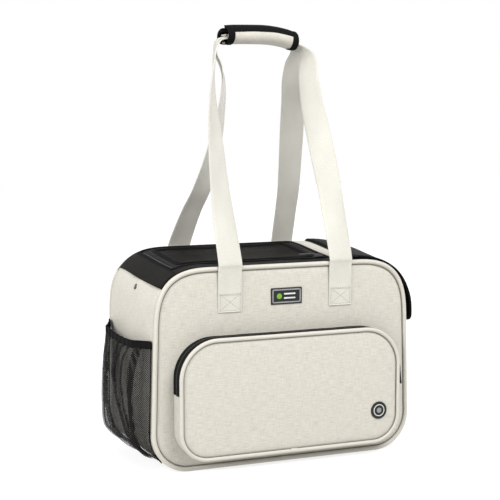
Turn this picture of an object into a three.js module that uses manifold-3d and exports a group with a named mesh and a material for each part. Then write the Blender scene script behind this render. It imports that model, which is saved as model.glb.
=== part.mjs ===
// Soft-sided pet carrier: a padded tote with a zipped mesh top hatch, a head opening under a flap,
// mesh end pockets, a bellows front pocket and two webbing handles joined by a padded grip.
// Millimetres, +Z up, +X to the carrier's right end, front facing -Y, origin under its centre.
import * as THREE from 'three';
import { mergeVertices } from 'three/addons/utils/BufferGeometryUtils.js';
import Module from 'manifold-3d';

const wasm = await Module();
wasm.setup();

// Shell
const WIDTH = 430;
const HEIGHT = 303;
const BACK_HEIGHT = 308;
const BACK_SWELL = 6;
const DEPTH = 214;
const TAPER = 0.04;
const BACK_TAPER = 0.02;
const TOP_RADIUS = 95;
const TOP_SQUARENESS = 2 / 3;
const BASE_RADIUS = 60;
const BELLY = 4;
const PIPING = 7;
const WALL = 5;
const GAP = 0.4;
// How far piping stands proud of the face beside it
const PROUD = 2;

// Openings in the top and the right end
const STRIP_FROM = 4.005;
const STRIP_TO = 4.21;
const SEAM_STATION = 0.004;
const LEFT_SEAM = 6.58;
const RIGHT_SEAM = 3.03;
const HATCH = { left: -168, right: 84, half: 72, coil: 2, border: 18 };
const HEAD = { left: 134, half: 60, sill: 222 };
const FLAP = { from: 2.98, to: 3.985, half: 90, lift: 3, hang: 8, flare: 15, thick: 4 };

// Front pocket
const POCKET = { half: 181, base: 20, top: 202, topRadius: 60, baseRadius: 45, front: 138, split: 118 };
const POCKET_PIPING = 6;
const TAPE = { back: 118, front: 121.5, thick: 1.6 };

// Handles and grip
const STRAP_WIDTH = 38;
const STRAP_THICK = 2.4;
const ANCHOR_X = 91;
const ANCHOR_DROP = 68;
const GRIP = { half: 60, height: 643, droop: 9, across: 18, tall: 10.5, thick: 4.4, run: 20 };

// Mesh end pockets
// One station of an end spans about END_SPAN millimetres.
const SIDE_POCKET = { from: 1.45, to: 2.93, half: 99, stand: 13, hem: 11, dip: 6 };
const END_SPAN = 148;

const LABEL = { width: 51, height: 25, radius: 13.5, thick: 2.4 };

const CREAM = 0xddd8cc;
const CREAM_WEBBING = 0xe6e2d8;
const BLACK = 0x232322;
const MESH = 0x4a4a48;
const METAL = 0xa8a8a8;
const BOARD = 0x35322f;
const FLEECE = 0xd9d2c4;

const fabric = (color) => new THREE.MeshStandardMaterial({ color, roughness: 0.9, metalness: 0 });
const plastic = (color) => new THREE.MeshStandardMaterial({ color, roughness: 0.45, metalness: 0 });
const metal = () => new THREE.MeshStandardMaterial({ color: METAL, roughness: 0.3, metalness: 1 });

function piece(name, geometry, material, position = [0, 0, 0]) {
  const mesh = new THREE.Mesh(geometry, material);
  mesh.name = name;
  mesh.position.set(...position);
  return mesh;
}

function assembly(...children) {
  const group = new THREE.Group();
  group.add(...children);
  return group;
}

const lerp = THREE.MathUtils.lerp;
const radians = THREE.MathUtils.degToRad;

// ---- Solids ------------------------------------------------------------------------------------

function toSolid(geometry) {
  const bare = geometry.clone();
  bare.deleteAttribute('normal');
  bare.deleteAttribute('uv');
  const merged = mergeVertices(bare, 1e-4);
  return new wasm.Manifold(new wasm.Mesh({
    numProp: 3,
    vertProperties: new Float32Array(merged.attributes.position.array),
    triVerts: new Uint32Array(merged.index.array),
  }));
}

function toGeometry(solid) {
  const mesh = solid.getMesh();
  const geometry = new THREE.BufferGeometry();
  geometry.setAttribute('position', new THREE.BufferAttribute(new Float32Array(mesh.vertProperties), 3));
  geometry.setIndex(Array.from(mesh.triVerts));
  geometry.computeVertexNormals();
  return geometry;
}

const cut = (body, ...tools) =>
  toGeometry(tools.reduce((solid, tool) => solid.subtract(toSolid(tool)), toSolid(body)));

const common = (body, tool) => toGeometry(toSolid(body).intersect(toSolid(tool)));

function block(low, high) {
  const size = high.map((value, axis) => value - low[axis]);
  const geometry = new THREE.BoxGeometry(...size);
  return geometry.translate(...low.map((value, axis) => value + size[axis] / 2));
}

// A closed solid between two sheets, each a function of u and v from 0 to 1.
function layer(outer, inner, uSteps, vSteps) {
  const positions = [];
  const index = [];
  const row = vSteps + 1;
  const side = (uSteps + 1) * row;
  for (const sheet of [outer, inner]) {
    for (let i = 0; i <= uSteps; i += 1) {
      for (let j = 0; j <= vSteps; j += 1) {
        positions.push(...sheet(i / uSteps, j / vSteps));
      }
    }
  }
  const quad = (a, b, c, d) => index.push(a, b, c, a, c, d);
  for (let i = 0; i < uSteps; i += 1) {
    for (let j = 0; j < vSteps; j += 1) {
      const a = i * row + j;
      quad(a, a + row, a + row + 1, a + 1);
      quad(side + a, side + a + 1, side + a + row + 1, side + a + row);
    }
  }
  for (let i = 0; i < uSteps; i += 1) {
    const a = i * row;
    const b = a + vSteps;
    quad(a, side + a, side + a + row, a + row);
    quad(b, b + row, side + b + row, side + b);
  }
  for (let j = 0; j < vSteps; j += 1) {
    const a = uSteps * row + j;
    quad(j, j + 1, side + j + 1, side + j);
    quad(a, side + a, side + a + 1, a + 1);
  }
  const geometry = new THREE.BufferGeometry();
  geometry.setAttribute('position', new THREE.Float32BufferAttribute(positions, 3));
  geometry.setIndex(volume(positions, index) < 0 ? index.reverse() : index);
  geometry.computeVertexNormals();
  return geometry;
}

function volume(positions, index) {
  const corner = (i) => new THREE.Vector3().fromArray(positions, index[i] * 3);
  let sum = 0;
  for (let i = 0; i < index.length; i += 3) {
    sum += corner(i).dot(corner(i + 1).cross(corner(i + 2)));
  }
  return sum / 6;
}

// ---- The carrier's outline and skin ------------------------------------------------------------

// A point [x, z] on the outline seen from the front. Stations run anticlockwise: 0 is the middle of
// the base, 1 to 2 the base corner, 2 to 3 the end, 3 to 4 the top corner, 5 the middle of the top.
// End runs from 0 at the front to 1 at the back, which is a little higher and wider at the top.
function outlinePoint(station, inset, end, rise = 0) {
  const height = lerp(HEIGHT, BACK_HEIGHT, end) + rise;
  const lap = ((station % 10) + 10) % 10;
  const side = lap > 5 ? -1 : 1;
  const along = lap > 5 ? 10 - lap : lap;
  const stretch = Math.min(4, Math.floor(along));
  const share = along - stretch;
  const turn = share * Math.PI / 2;
  const half = WIDTH / 2;
  let x;
  let z;
  if (stretch === 0) {
    x = share * (half - BASE_RADIUS);
    z = inset;
  } else if (stretch === 1) {
    x = half - BASE_RADIUS + (BASE_RADIUS - inset) * Math.sin(turn);
    z = BASE_RADIUS - (BASE_RADIUS - inset) * Math.cos(turn);
  } else if (stretch === 2) {
    x = half - inset;
    z = lerp(BASE_RADIUS, height - TOP_RADIUS, share);
  } else if (stretch === 3) {
    x = half - TOP_RADIUS + (TOP_RADIUS - inset) * Math.max(0, Math.cos(turn)) ** TOP_SQUARENESS;
    z = height - TOP_RADIUS + (TOP_RADIUS - inset) * Math.sin(turn) ** TOP_SQUARENESS;
  } else {
    x = (1 - share) * (half - TOP_RADIUS);
    z = height - inset;
  }
  return [side * x * (1 - lerp(TAPER, BACK_TAPER, end) * z / HEIGHT), z];
}

function outline(inset, end) {
  const stations = [0];
  const stretchSteps = [1, 7, 1, 9, 1];
  stretchSteps.forEach((steps, stretch) => {
    for (let i = 1; i <= steps; i += 1) {
      stations.push(stretch + i / steps);
    }
  });
  const right = stations.slice(1, -1);
  const left = right.map((station) => 10 - station).reverse();
  return [...right, ...left].map((station) => new THREE.Vector2(...outlinePoint(station, inset, end)));
}

// A rounded rectangle with its own top and base radii.
function pocketOutline(inset) {
  const { half, base, top, topRadius, baseRadius } = POCKET;
  const corners = [
    [half - baseRadius, base + baseRadius, baseRadius, -90],
    [half - topRadius, top - topRadius, topRadius, 0],
    [topRadius - half, top - topRadius, topRadius, 90],
    [baseRadius - half, base + baseRadius, baseRadius, 180],
  ];
  const steps = 8;
  return corners.flatMap(([x, z, radius, start]) => Array.from({ length: steps + 1 }, (_, i) => {
    const angle = radians(start + 90 * i / steps);
    const reach = radius - inset;
    return new THREE.Vector2(x + reach * Math.cos(angle), z + reach * Math.sin(angle));
  }));
}

// A flat plate of an outline in X and Z, from yFront to yBack, with an optional hole.
function plate(points, yFront, yBack, hole) {
  const shape = new THREE.Shape(points);
  if (hole) {
    shape.holes.push(new THREE.Path(hole));
  }
  const depth = yBack - yFront;
  return new THREE.ExtrudeGeometry(shape, { depth, bevelEnabled: false, steps: 1 })
    .rotateX(Math.PI / 2)
    .translate(0, yBack, 0);
}

const SKIN_HALF = DEPTH / 2 - PIPING - GAP;

// A point on the skin between the front and back piping, which bellies out a little and swells up
// behind the hatch.
function skinPoint(station, y, inset) {
  const { smoothstep } = THREE.MathUtils;
  const end = (y + SKIN_HALF) / (2 * SKIN_HALF);
  const swell = BACK_SWELL * smoothstep(end, 0.3, 0.9) * (1 - smoothstep(end, 0.92, 1));
  const rise = swell * smoothstep(outlinePoint(station, inset, end)[1], 150, 280);
  const z = outlinePoint(station, inset, end, rise)[1];
  const belly = BELLY * (1 - (y / SKIN_HALF) ** 2) * smoothstep(z, 20, 100);
  const [x, up] = outlinePoint(station, inset - belly, end, rise);
  return [x, y, up];
}

// A stretch of skin between two stations, as far as half on each side of the middle.
function skin(from, to, outer, inner, steps, half = SKIN_HALF, acrossSteps = 6) {
  const sheet = (inset) => (u, v) =>
    skinPoint(lerp(from, to, u), lerp(-half, half, v), typeof inset === 'function' ? inset(u, v) : inset);
  return layer(sheet(outer), sheet(inner), steps, acrossSteps);
}

// ---- Shell -------------------------------------------------------------------------------------

function facePanel(name, end, yFront) {
  return piece(name, plate(outline(PIPING + GAP, end), 0, WALL), fabric(CREAM), [0, yFront, 0]);
}

function pipingLoop(name, end, yFront) {
  const ring = plate(outline(0, end), 0, PIPING, outline(PIPING, end));
  return piece(name, ring, fabric(CREAM), [0, yFront, 0]);
}

function shell() {
  const half = DEPTH / 2;
  return assembly(
    facePanel('front_panel', 0, PROUD - half),
    facePanel('back_panel', 1, half - WALL - PROUD),
    pipingLoop('front_piping', 0, -half),
    pipingLoop('back_piping', 1, half - PIPING),
    piece('bottom_panel', skin(-2 + SEAM_STATION, 2 - SEAM_STATION, 0, WALL, 24), fabric(CREAM)),
    piece('right_end_panel', skin(2, RIGHT_SEAM, 1, 1 + WALL, 6), fabric(CREAM)),
    piece('left_end_panel', skin(LEFT_SEAM, 8, 1, 1 + WALL, 10), fabric(CREAM)),
    piece('cross_strip', skin(STRIP_FROM, STRIP_TO, 0, WALL, 1), fabric(CREAM)),
  );
}

function baseBoard() {
  const half = WIDTH / 2 - BASE_RADIUS - 10;
  const board = block([-half, -92, 0], [half, 92, 3]);
  return piece('base_board', board, plastic(BOARD), [0, 0, WALL + 1]);
}

function fleeceMat() {
  const half = WIDTH / 2 - BASE_RADIUS - 12;
  const corners = [[-half, -88], [half, -88], [half, 88], [-half, 88]];
  const points = corners.map(([x, y]) => new THREE.Vector2(x, y));
  const mat = new THREE.ExtrudeGeometry(new THREE.Shape(points), { depth: 14, bevelEnabled: false });
  return piece('fleece_mat', mat, fabric(FLEECE), [0, 0, WALL + 4.5]);
}

// ---- Top hatch ---------------------------------------------------------------------------------

const topSkin = (outer, inner) => skin(STRIP_TO + SEAM_STATION, LEFT_SEAM - SEAM_STATION, outer, inner, 16);

function hatchBlock(inset) {
  const { left, right, half } = HATCH;
  return block([left + inset, inset - half, 200], [right - inset, half - inset, 340]);
}

function topHatch() {
  const { coil, border, right, half } = HATCH;
  const coilRing = cut(
    common(topSkin(1.5, 4), hatchBlock(GAP)),
    hatchBlock(coil),
    block([-300, half - 12, 200], [300, half + 20, 340]),
  );
  const panel = common(topSkin(1, 4), hatchBlock(coil + GAP));
  const slider = new THREE.BoxGeometry(14, 8, 4);
  const pull = new THREE.BoxGeometry(26, 7, 1.6).translate(-13, 0, 0);
  const parked = skinPoint(STRIP_TO + 0.2, -half, 0);
  return assembly(
    piece('top_frame', cut(topSkin(0, WALL), hatchBlock(0)), fabric(BLACK)),
    piece('hatch_zip_coil', coilRing, plastic(BLACK)),
    piece('hatch_border', cut(panel, hatchBlock(border)), fabric(BLACK)),
    piece('hatch_mesh', common(topSkin(2, 3.2), hatchBlock(border + GAP)), fabric(MESH)),
    piece('hatch_slider', slider, metal(), [right - 12, -half, parked[2] + 2.6]),
    piece('hatch_pull', pull, metal(), [right - 20, -half, parked[2] + 5.8]),
  );
}

// ---- Head opening in the right end -------------------------------------------------------------

function headOpening() {
  const { left, half, sill } = HEAD;
  const frame = skin(RIGHT_SEAM + SEAM_STATION, STRIP_FROM - SEAM_STATION, 1, 1 + WALL, 12);
  const hole = block([left, -half, sill], [WIDTH, half, HEIGHT + 60]);
  // The flap stands off most at its loose end, and flares towards its front and back edges.
  const hang = (v) => lerp(FLAP.hang, FLAP.flare, (2 * v - 1) ** 2);
  const lift = (u, v) => -FLAP.lift - (hang(v) - FLAP.lift) * Math.sqrt(1 - u);
  const flap = skin(
    FLAP.from, FLAP.to, (u, v) => lift(u, v) - FLAP.thick, lift, 12, FLAP.half,
  );
  const [stubX, , stubZ] = skinPoint(FLAP.from + 0.06, 0, 0);
  const disc = (radius, height) =>
    new THREE.CylinderGeometry(radius, radius, height, 16).rotateZ(Math.PI / 2);
  return assembly(
    piece('head_frame', cut(frame, hole), fabric(BLACK)),
    piece('head_flap', flap, fabric(BLACK)),
    piece('flap_snap_cap', disc(6, 1.6), metal(), [stubX + FLAP.hang + FLAP.thick + 1.2, 0, stubZ]),
    piece('flap_snap_stud', disc(4.5, 5), metal(), [stubX + 2.4 + GAP, 0, stubZ]),
  );
}

function leftSnap() {
  const [x, , z] = skinPoint(10 - 3.35, -12, 1);
  const cap = new THREE.CylinderGeometry(4.5, 4.5, 2, 16).rotateZ(Math.PI / 2).rotateY(0.35);
  return piece('left_snap', cap, metal(), [x - 2.2, -12, z + 0.6]);
}

// ---- Mesh end pockets --------------------------------------------------------------------------

function endPocket(end, mirror) {
  const { from, to, half, stand, hem, dip } = SIDE_POCKET;
  const station = (value) => (mirror ? 10 - value : value);
  // 0 at the two sewn sides and 1 midway between them
  const middle = (v) => 1 - (2 * v - 1) ** 2;
  const off = (u, v) => 0.5 + stand * Math.min(1, 1.6 * middle(v)) * Math.min(1, 3.5 * u + 0.05);
  const top = (v) => to - dip * middle(v) / END_SPAN;
  const hemFrom = (v) => top(v) - hem / END_SPAN;
  const sheet = (low, high, share, extra) => (u, v) =>
    skinPoint(station(lerp(low(v), high(v), u)), lerp(-half, half, v), -off(share(u), v) - extra);
  const mesh = layer(
    sheet(() => from, (v) => hemFrom(v) - 0.003, (u) => u, 1.5),
    sheet(() => from, (v) => hemFrom(v) - 0.003, (u) => u, 0), 8, 10,
  );
  const band = layer(
    sheet(hemFrom, top, () => 1, 2),
    sheet(hemFrom, top, () => 1, -0.2), 1, 10,
  );
  return assembly(
    piece(`${end}_pocket_mesh`, mesh, fabric(MESH)),
    piece(`${end}_pocket_hem`, band, fabric(BLACK)),
  );
}

// ---- Front pocket ------------------------------------------------------------------------------

function frontPocket() {
  const { half, front, split, top, topRadius } = POCKET;
  const upper = block([-WIDTH, -DEPTH, split + GAP], [WIDTH, 0, HEIGHT]);
  const lower = block([-WIDTH, -DEPTH, -10], [WIDTH, 0, split]);
  const face = plate(pocketOutline(POCKET_PIPING + GAP), PROUD - front, POCKET_PIPING - front);
  const piping = plate(pocketOutline(0), -front, POCKET_PIPING - front, pocketOutline(POCKET_PIPING));
  const panelFront = PROUD - DEPTH / 2 - GAP;
  const gusset = plate(pocketOutline(1), POCKET_PIPING + GAP - front, panelFront, pocketOutline(4));
  const band = (yFront, yBack, outer, inner) =>
    common(plate(pocketOutline(outer), yFront, yBack, pocketOutline(inner)), upper);
  const { back, front: tapeFront, thick } = TAPE;
  const slider = new THREE.BoxGeometry(5, 9, 13);
  const pull = new THREE.BoxGeometry(1.6, 7, 34).translate(0, 0, -17);
  return assembly(
    piece('pocket_lower_face', common(face, lower), fabric(CREAM)),
    piece('pocket_upper_face', common(face, upper), fabric(CREAM)),
    piece('pocket_lower_piping', common(piping, lower), fabric(CREAM)),
    piece('pocket_upper_piping', common(piping, upper), fabric(CREAM)),
    piece('pocket_gusset', common(gusset, lower), fabric(CREAM)),
    piece('pocket_zip_tape', band(-back, panelFront, 1, 1 + thick), fabric(BLACK)),
    piece('pocket_zip_coil', band(GAP - tapeFront, -back - GAP, 0.6, 3), plastic(BLACK)),
    piece('pocket_flap_tape', band(POCKET_PIPING + GAP - front, -tapeFront, 1, 1 + thick), fabric(BLACK)),
    piece('pocket_slider', slider, metal(), [half + 3, -(back + tapeFront) / 2, top - topRadius]),
    piece('pocket_pull', pull, metal(), [half + 6.8, -(back + tapeFront) / 2, top - topRadius - 2]),
  );
}

// ---- Handles -----------------------------------------------------------------------------------

// Points up each strap leg: x, y, z and how far its width has turned from X, in degrees.
const LEG_ROUTES = {
  front_strap_left_leg: [
    [-91, -107, 318, 0], [-93, -90, 370, 8], [-93, -75, 420, 20], [-92, -60, 470, 31],
    [-89, -40, 539, 52], [-84, -28, 575, 62], [-78, -18, 600, 70], [-74, -12, 619, 74],
  ],
  front_strap_right_leg: [
    [91, -107, 318, 0], [89, -90, 370, -6], [87, -75, 418, -15], [82, -57, 479, -32],
    [76, -40, 537, -50], [77, -31, 573, -62], [79, -22, 600, -70], [76, -15, 619, -74],
  ],
  back_strap_left_leg: [
    [-91, 107, 325, 8], [-80, 84, 370, 14], [-69, 60, 412, 20], [-59, 38, 470, 34],
    [-52, 22, 535, 52], [-51, 14, 575, 62], [-55, 10, 598, 70], [-59, 8, 618, 74],
  ],
  back_strap_right_leg: [
    [91, 107, 325, 0], [90, 92, 365, 0], [88, 76, 408, -4], [82, 54, 475, -16],
    [76, 34, 542, -40], [68, 21, 575, -58], [62, 14, 600, -70], [57, 11, 618, -74],
  ],
};

function strapLeg(route) {
  const curve = new THREE.CatmullRomCurve3(route.map(([x, y, z]) => new THREE.Vector3(x, y, z)));
  const turnAt = (share) => {
    const place = share * (route.length - 1);
    const before = Math.min(route.length - 2, Math.floor(place));
    return radians(lerp(route[before][3], route[before + 1][3], place - before));
  };
  const sheet = (offset) => (u, v) => {
    const centre = curve.getPoint(u);
    const across = new THREE.Vector3(Math.cos(turnAt(u)), Math.sin(turnAt(u)), 0);
    const normal = new THREE.Vector3().crossVectors(across, curve.getTangent(u)).normalize();
    return centre.addScaledVector(across, (v - 0.5) * STRAP_WIDTH).addScaledVector(normal, offset).toArray();
  };
  return layer(sheet(STRAP_THICK / 2), sheet(-STRAP_THICK / 2), 14, 1);
}

// The end of a strap, sewn flat to a panel and passing up over the piping.
function strapAnchor(x, height, face) {
  const panel = DEPTH / 2 - PROUD + GAP;
  const proud = DEPTH / 2 + GAP;
  const path = [
    [panel, height - ANCHOR_DROP], [panel, height - 14], [proud, height - 6], [proud, height + 4],
    [proud - 1.5, height + (face < 0 ? 12 : 11)],
  ];
  const sheet = (offset) => (u, v) => {
    const [y, z] = path[Math.round(u * (path.length - 1))];
    return [x + (v - 0.5) * STRAP_WIDTH, face * (y + offset), z];
  };
  return layer(sheet(STRAP_THICK), sheet(0), path.length - 1, 1);
}

// A run of webbing inside the grip, lying flat and drooping at its ends like the grip.
function gripRun(low) {
  const sheet = (lift) => (u, v) => {
    const x = lerp(-GRIP.half + 2, GRIP.half - 2, u);
    return [x, (v - 0.5) * GRIP.run, GRIP.height - GRIP.droop * (x / GRIP.half) ** 2 + low + lift];
  };
  return layer(sheet(STRAP_THICK), sheet(0), 8, 1);
}

// Part of the padded wrap round both straps: angles run round its section from the back, over the top.
function gripShell(from, to, offset, thick, steps = 10) {
  const sheet = (rise) => (u, v) => {
    const x = lerp(-GRIP.half, GRIP.half, u);
    const angle = radians(lerp(from, to, v));
    const reach = offset(v) - rise(v);
    return [
      x,
      (GRIP.across + reach) * Math.cos(angle),
      GRIP.height - GRIP.droop * (x / GRIP.half) ** 2 + (GRIP.tall + reach) * Math.sin(angle),
    ];
  };
  return layer(sheet(() => 0), sheet(thick), 8, steps);
}

function grip() {
  const edge = (v) => lerp(4.7, 5.5, v);
  return assembly(
    piece('grip_pad', gripShell(-98, 108, () => 0, () => GRIP.thick), fabric(CREAM)),
    piece('grip_flap', gripShell(258, 122, (v) => 5.5 * v * 0.83, (v) => lerp(GRIP.thick, 3.2, v)), fabric(CREAM)),
    piece('grip_flap_binding', gripShell(120, 82, edge, () => 2.4, 4), fabric(BLACK)),
    piece('grip_hook_tape', gripShell(94, 107, () => 1.1, () => 0.8, 2), fabric(BLACK)),
    piece('grip_loop_tape', gripShell(118, 94, () => 1.9, () => 0.5, 3), fabric(BLACK)),
    piece('front_strap_grip', gripRun(-3.2), fabric(CREAM_WEBBING)),
    piece('back_strap_grip', gripRun(0.8), fabric(CREAM_WEBBING)),
  );
}

function handles() {
  const legs = Object.entries(LEG_ROUTES).map(([name, route]) =>
    piece(name, strapLeg(route), fabric(CREAM_WEBBING)));
  const anchors = [['left', -ANCHOR_X], ['right', ANCHOR_X]].flatMap(([side, x]) => [
    piece(`front_strap_${side}_end`, strapAnchor(x, HEIGHT, -1), fabric(CREAM_WEBBING)),
    piece(`back_strap_${side}_end`, strapAnchor(x, BACK_HEIGHT, 1), fabric(CREAM_WEBBING)),
  ]);
  return assembly(...legs, ...anchors, grip());
}

// ---- Labels ------------------------------------------------------------------------------------

function labels() {
  const { thick, radius } = LABEL;
  const rectangle = new THREE.BoxGeometry(LABEL.width, thick, LABEL.height);
  const round = new THREE.CylinderGeometry(radius, radius, thick, 32);
  return assembly(
    piece('front_label', rectangle, plastic(BLACK), [1, PROUD - DEPTH / 2 - thick / 2 - GAP, 254]),
    piece('pocket_label', round, plastic(BLACK), [144, PROUD - POCKET.front - thick / 2 - GAP, 72]),
  );
}

// ---- Safety tether inside ----------------------------------------------------------------------

function tether() {
  const wall = DEPTH / 2 - PROUD - WALL - GAP;
  const tab = block([-13, -2, -12], [13, 0, 12]);
  const strap = block([-10, -1.8, -118], [10, 0, 0]);
  const hook = new THREE.Shape([
    [-9, 0], [9, 0], [9, -14], [4, -18], [4, -22], [11, -29], [11, -40], [5, -47], [-5, -47], [-11, -40],
    [-11, -36], [-7, -36], [-7, -39], [-4, -43], [4, -43], [7, -39], [7, -30], [1, -25], [-9, -22], [-9, -14],
  ].map(([x, z]) => new THREE.Vector2(x, z)));
  const clip = new THREE.ExtrudeGeometry(hook, { depth: 5, bevelEnabled: false }).rotateX(Math.PI / 2);
  const gate = block([-10.5, -4.5, -35.4], [-7.5, -0.5, -23.4]);
  return assembly(
    piece('tether_tab', tab, fabric(BLACK), [-120, wall, 262]),
    piece('tether_strap', strap, fabric(BLACK), [-120, wall - 3, 249]),
    piece('tether_clip', clip, metal(), [-120, wall - 2.4, 130.5]),
    piece('clip_gate', gate, metal(), [-120, wall - 2.4, 130.5]),
  );
}

const carrier = assembly(
  shell(),
  baseBoard(),
  fleeceMat(),
  topHatch(),
  headOpening(),
  leftSnap(),
  endPocket('left', true),
  endPocket('right', false),
  frontPocket(),
  handles(),
  labels(),
  tether(),
);

export default carrier;
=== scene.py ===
"""Looks of the soft-sided pet carrier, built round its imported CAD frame. Metres, +Z up, front facing -Y."""

import math

import bmesh
import bpy
import numpy as np
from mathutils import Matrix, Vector


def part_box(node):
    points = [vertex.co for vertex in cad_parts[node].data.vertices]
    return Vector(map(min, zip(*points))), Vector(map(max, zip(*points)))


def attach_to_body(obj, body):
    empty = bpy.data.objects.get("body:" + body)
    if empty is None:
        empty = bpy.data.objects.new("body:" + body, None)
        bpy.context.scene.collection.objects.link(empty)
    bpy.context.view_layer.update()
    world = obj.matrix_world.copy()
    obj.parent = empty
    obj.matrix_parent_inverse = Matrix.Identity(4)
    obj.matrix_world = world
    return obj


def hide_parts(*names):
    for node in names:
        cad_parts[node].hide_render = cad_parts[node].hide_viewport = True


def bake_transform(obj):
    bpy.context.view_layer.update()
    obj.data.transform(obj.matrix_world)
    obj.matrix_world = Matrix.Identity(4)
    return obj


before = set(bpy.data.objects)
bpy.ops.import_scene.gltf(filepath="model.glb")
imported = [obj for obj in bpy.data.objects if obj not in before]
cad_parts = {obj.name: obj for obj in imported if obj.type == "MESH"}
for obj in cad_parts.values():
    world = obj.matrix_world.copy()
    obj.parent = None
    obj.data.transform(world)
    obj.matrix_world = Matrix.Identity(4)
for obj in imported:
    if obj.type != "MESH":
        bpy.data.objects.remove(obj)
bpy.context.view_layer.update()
MM = 0.001
X_AXIS, Y_AXIS, Z_AXIS = np.eye(3)


def low(node):
    return np.array(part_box(node)[0])


def high(node):
    return np.array(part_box(node)[1])


def middle_of(node):
    return (low(node) + high(node)) / 2


# ---- Sizes, from the frame ----------------------------------------------------------------------

FRONT_Y = low("front_piping")[1]
BACK_Y = high("back_piping")[1]
PIPING = high("front_piping")[1] - FRONT_Y
HEIGHT = high("front_piping")[2]
BACK_HEIGHT = high("back_piping")[2]
TAPER, BACK_TAPER = 0.04, 0.02
TOP_RADIUS = 95 * MM
TOP_SQUARENESS = 2 / 3
BACK_SWELL = 6 * MM
BASE_RADIUS = 60 * MM
HALF_WIDTH = 215 * MM
END_STATION = 148  # Millimetres of the skin to one station, up either end.
SKIN_FRONT = low("top_frame")[1]
SKIN_BACK = high("top_frame")[1]
BELLY = 4 * MM
SKIN_STEP = 0.045  # Stations between two rows of the skin's grid.

LEFT_SEAM = 6.61
RIGHT_SEAM = 3.0
STRIP_FROM = 4.005
STRIP_TO = 4.21

POCKET_HALF = high("pocket_upper_piping")[0]
POCKET_TOP = high("pocket_upper_piping")[2]
POCKET_BASE = low("pocket_lower_piping")[2]
POCKET_FRONT = low("pocket_upper_piping")[1]
POCKET_TOP_RADIUS = 60 * MM
POCKET_BASE_RADIUS = 45 * MM
POCKET_SPLIT = low("pocket_upper_face")[2]
POCKET_MIDDLE = POCKET_BASE + 0.09
POCKET_INSIDE = (0, -0.12, 0.11)
PANEL_FRONT = low("front_panel")[1]

STRAP_WIDTH = 38 * MM
STRAP_THICK = 2.2 * MM
GRIP_HALF = high("grip_pad")[0]
GRIP_DROOP = 9 * MM
GRIP_ACROSS = 18 * MM
GRIP_TALL = 12 * MM
GRIP_HEIGHT = 644.5 * MM
GRIP_THICK = 4.4 * MM

# ---- Camera, light and floor --------------------------------------------------------------------

CAMERA_AZIMUTH = math.radians(-23.08)
CAMERA_ELEVATION = math.radians(6.36)
CAMERA_DISTANCE = 2.098
CAMERA_TARGET = Vector((-0.013, 0, 0.3129))
CAMERA_LENS = 96.3


def make_camera():
    data = bpy.data.cameras.new("camera")
    data.lens = CAMERA_LENS
    data.sensor_width = 36
    camera = bpy.data.objects.new("camera", data)
    bpy.context.scene.collection.objects.link(camera)
    flat = math.cos(CAMERA_ELEVATION)
    back = Vector((
        math.sin(CAMERA_AZIMUTH) * flat,
        -math.cos(CAMERA_AZIMUTH) * flat,
        math.sin(CAMERA_ELEVATION),
    ))
    camera.location = CAMERA_TARGET + back * CAMERA_DISTANCE
    camera.rotation_mode = "QUATERNION"
    camera.rotation_quaternion = (-back).to_track_quat("-Z", "Y")
    bpy.context.scene.camera = camera


def area_light(name, place, size, power, target=(0, 0, 0.3)):
    data = bpy.data.lights.new(name, "AREA")
    data.shape = "DISK"
    data.size = size
    data.energy = power
    light = bpy.data.objects.new(name, data)
    bpy.context.scene.collection.objects.link(light)
    light.location = place
    light.rotation_mode = "QUATERNION"
    light.rotation_quaternion = (Vector(target) - Vector(place)).to_track_quat("-Z", "Y")


def make_studio():
    world = bpy.data.worlds.new("studio")
    world.use_nodes = True
    background = world.node_tree.nodes["Background"]
    background.inputs["Color"].default_value = (1, 1, 1, 1)
    background.inputs["Strength"].default_value = 1.0
    bpy.context.scene.world = world
    bpy.context.scene.view_settings.view_transform = "Standard"
    area_light("key", (0.6, -2.3, 2.8), 1.8, 140)
    area_light("fill", (-2.6, -0.8, 1.5), 2.0, 80)
    side = 6
    corners = [(-side, -side, 0), (side, -side, 0), (side, side, 0), (-side, side, 0)]
    mesh = bpy.data.meshes.new("floor")
    mesh.from_pydata(corners, [], [(0, 1, 2, 3)])
    floor = bpy.data.objects.new("floor", mesh)
    bpy.context.scene.collection.objects.link(floor)
    paint = Nodes("floor_paint")
    paint.shader.inputs["Base Color"].default_value = (0.3, 0.3, 0.3, 1)
    paint.shader.inputs["Roughness"].default_value = 0.9
    paint.shader.inputs["Emission Color"].default_value = (1, 1, 1, 1)
    paint.shader.inputs["Emission Strength"].default_value = 0.72
    floor.data.materials.append(paint.material)


# ---- Materials ----------------------------------------------------------------------------------


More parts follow.
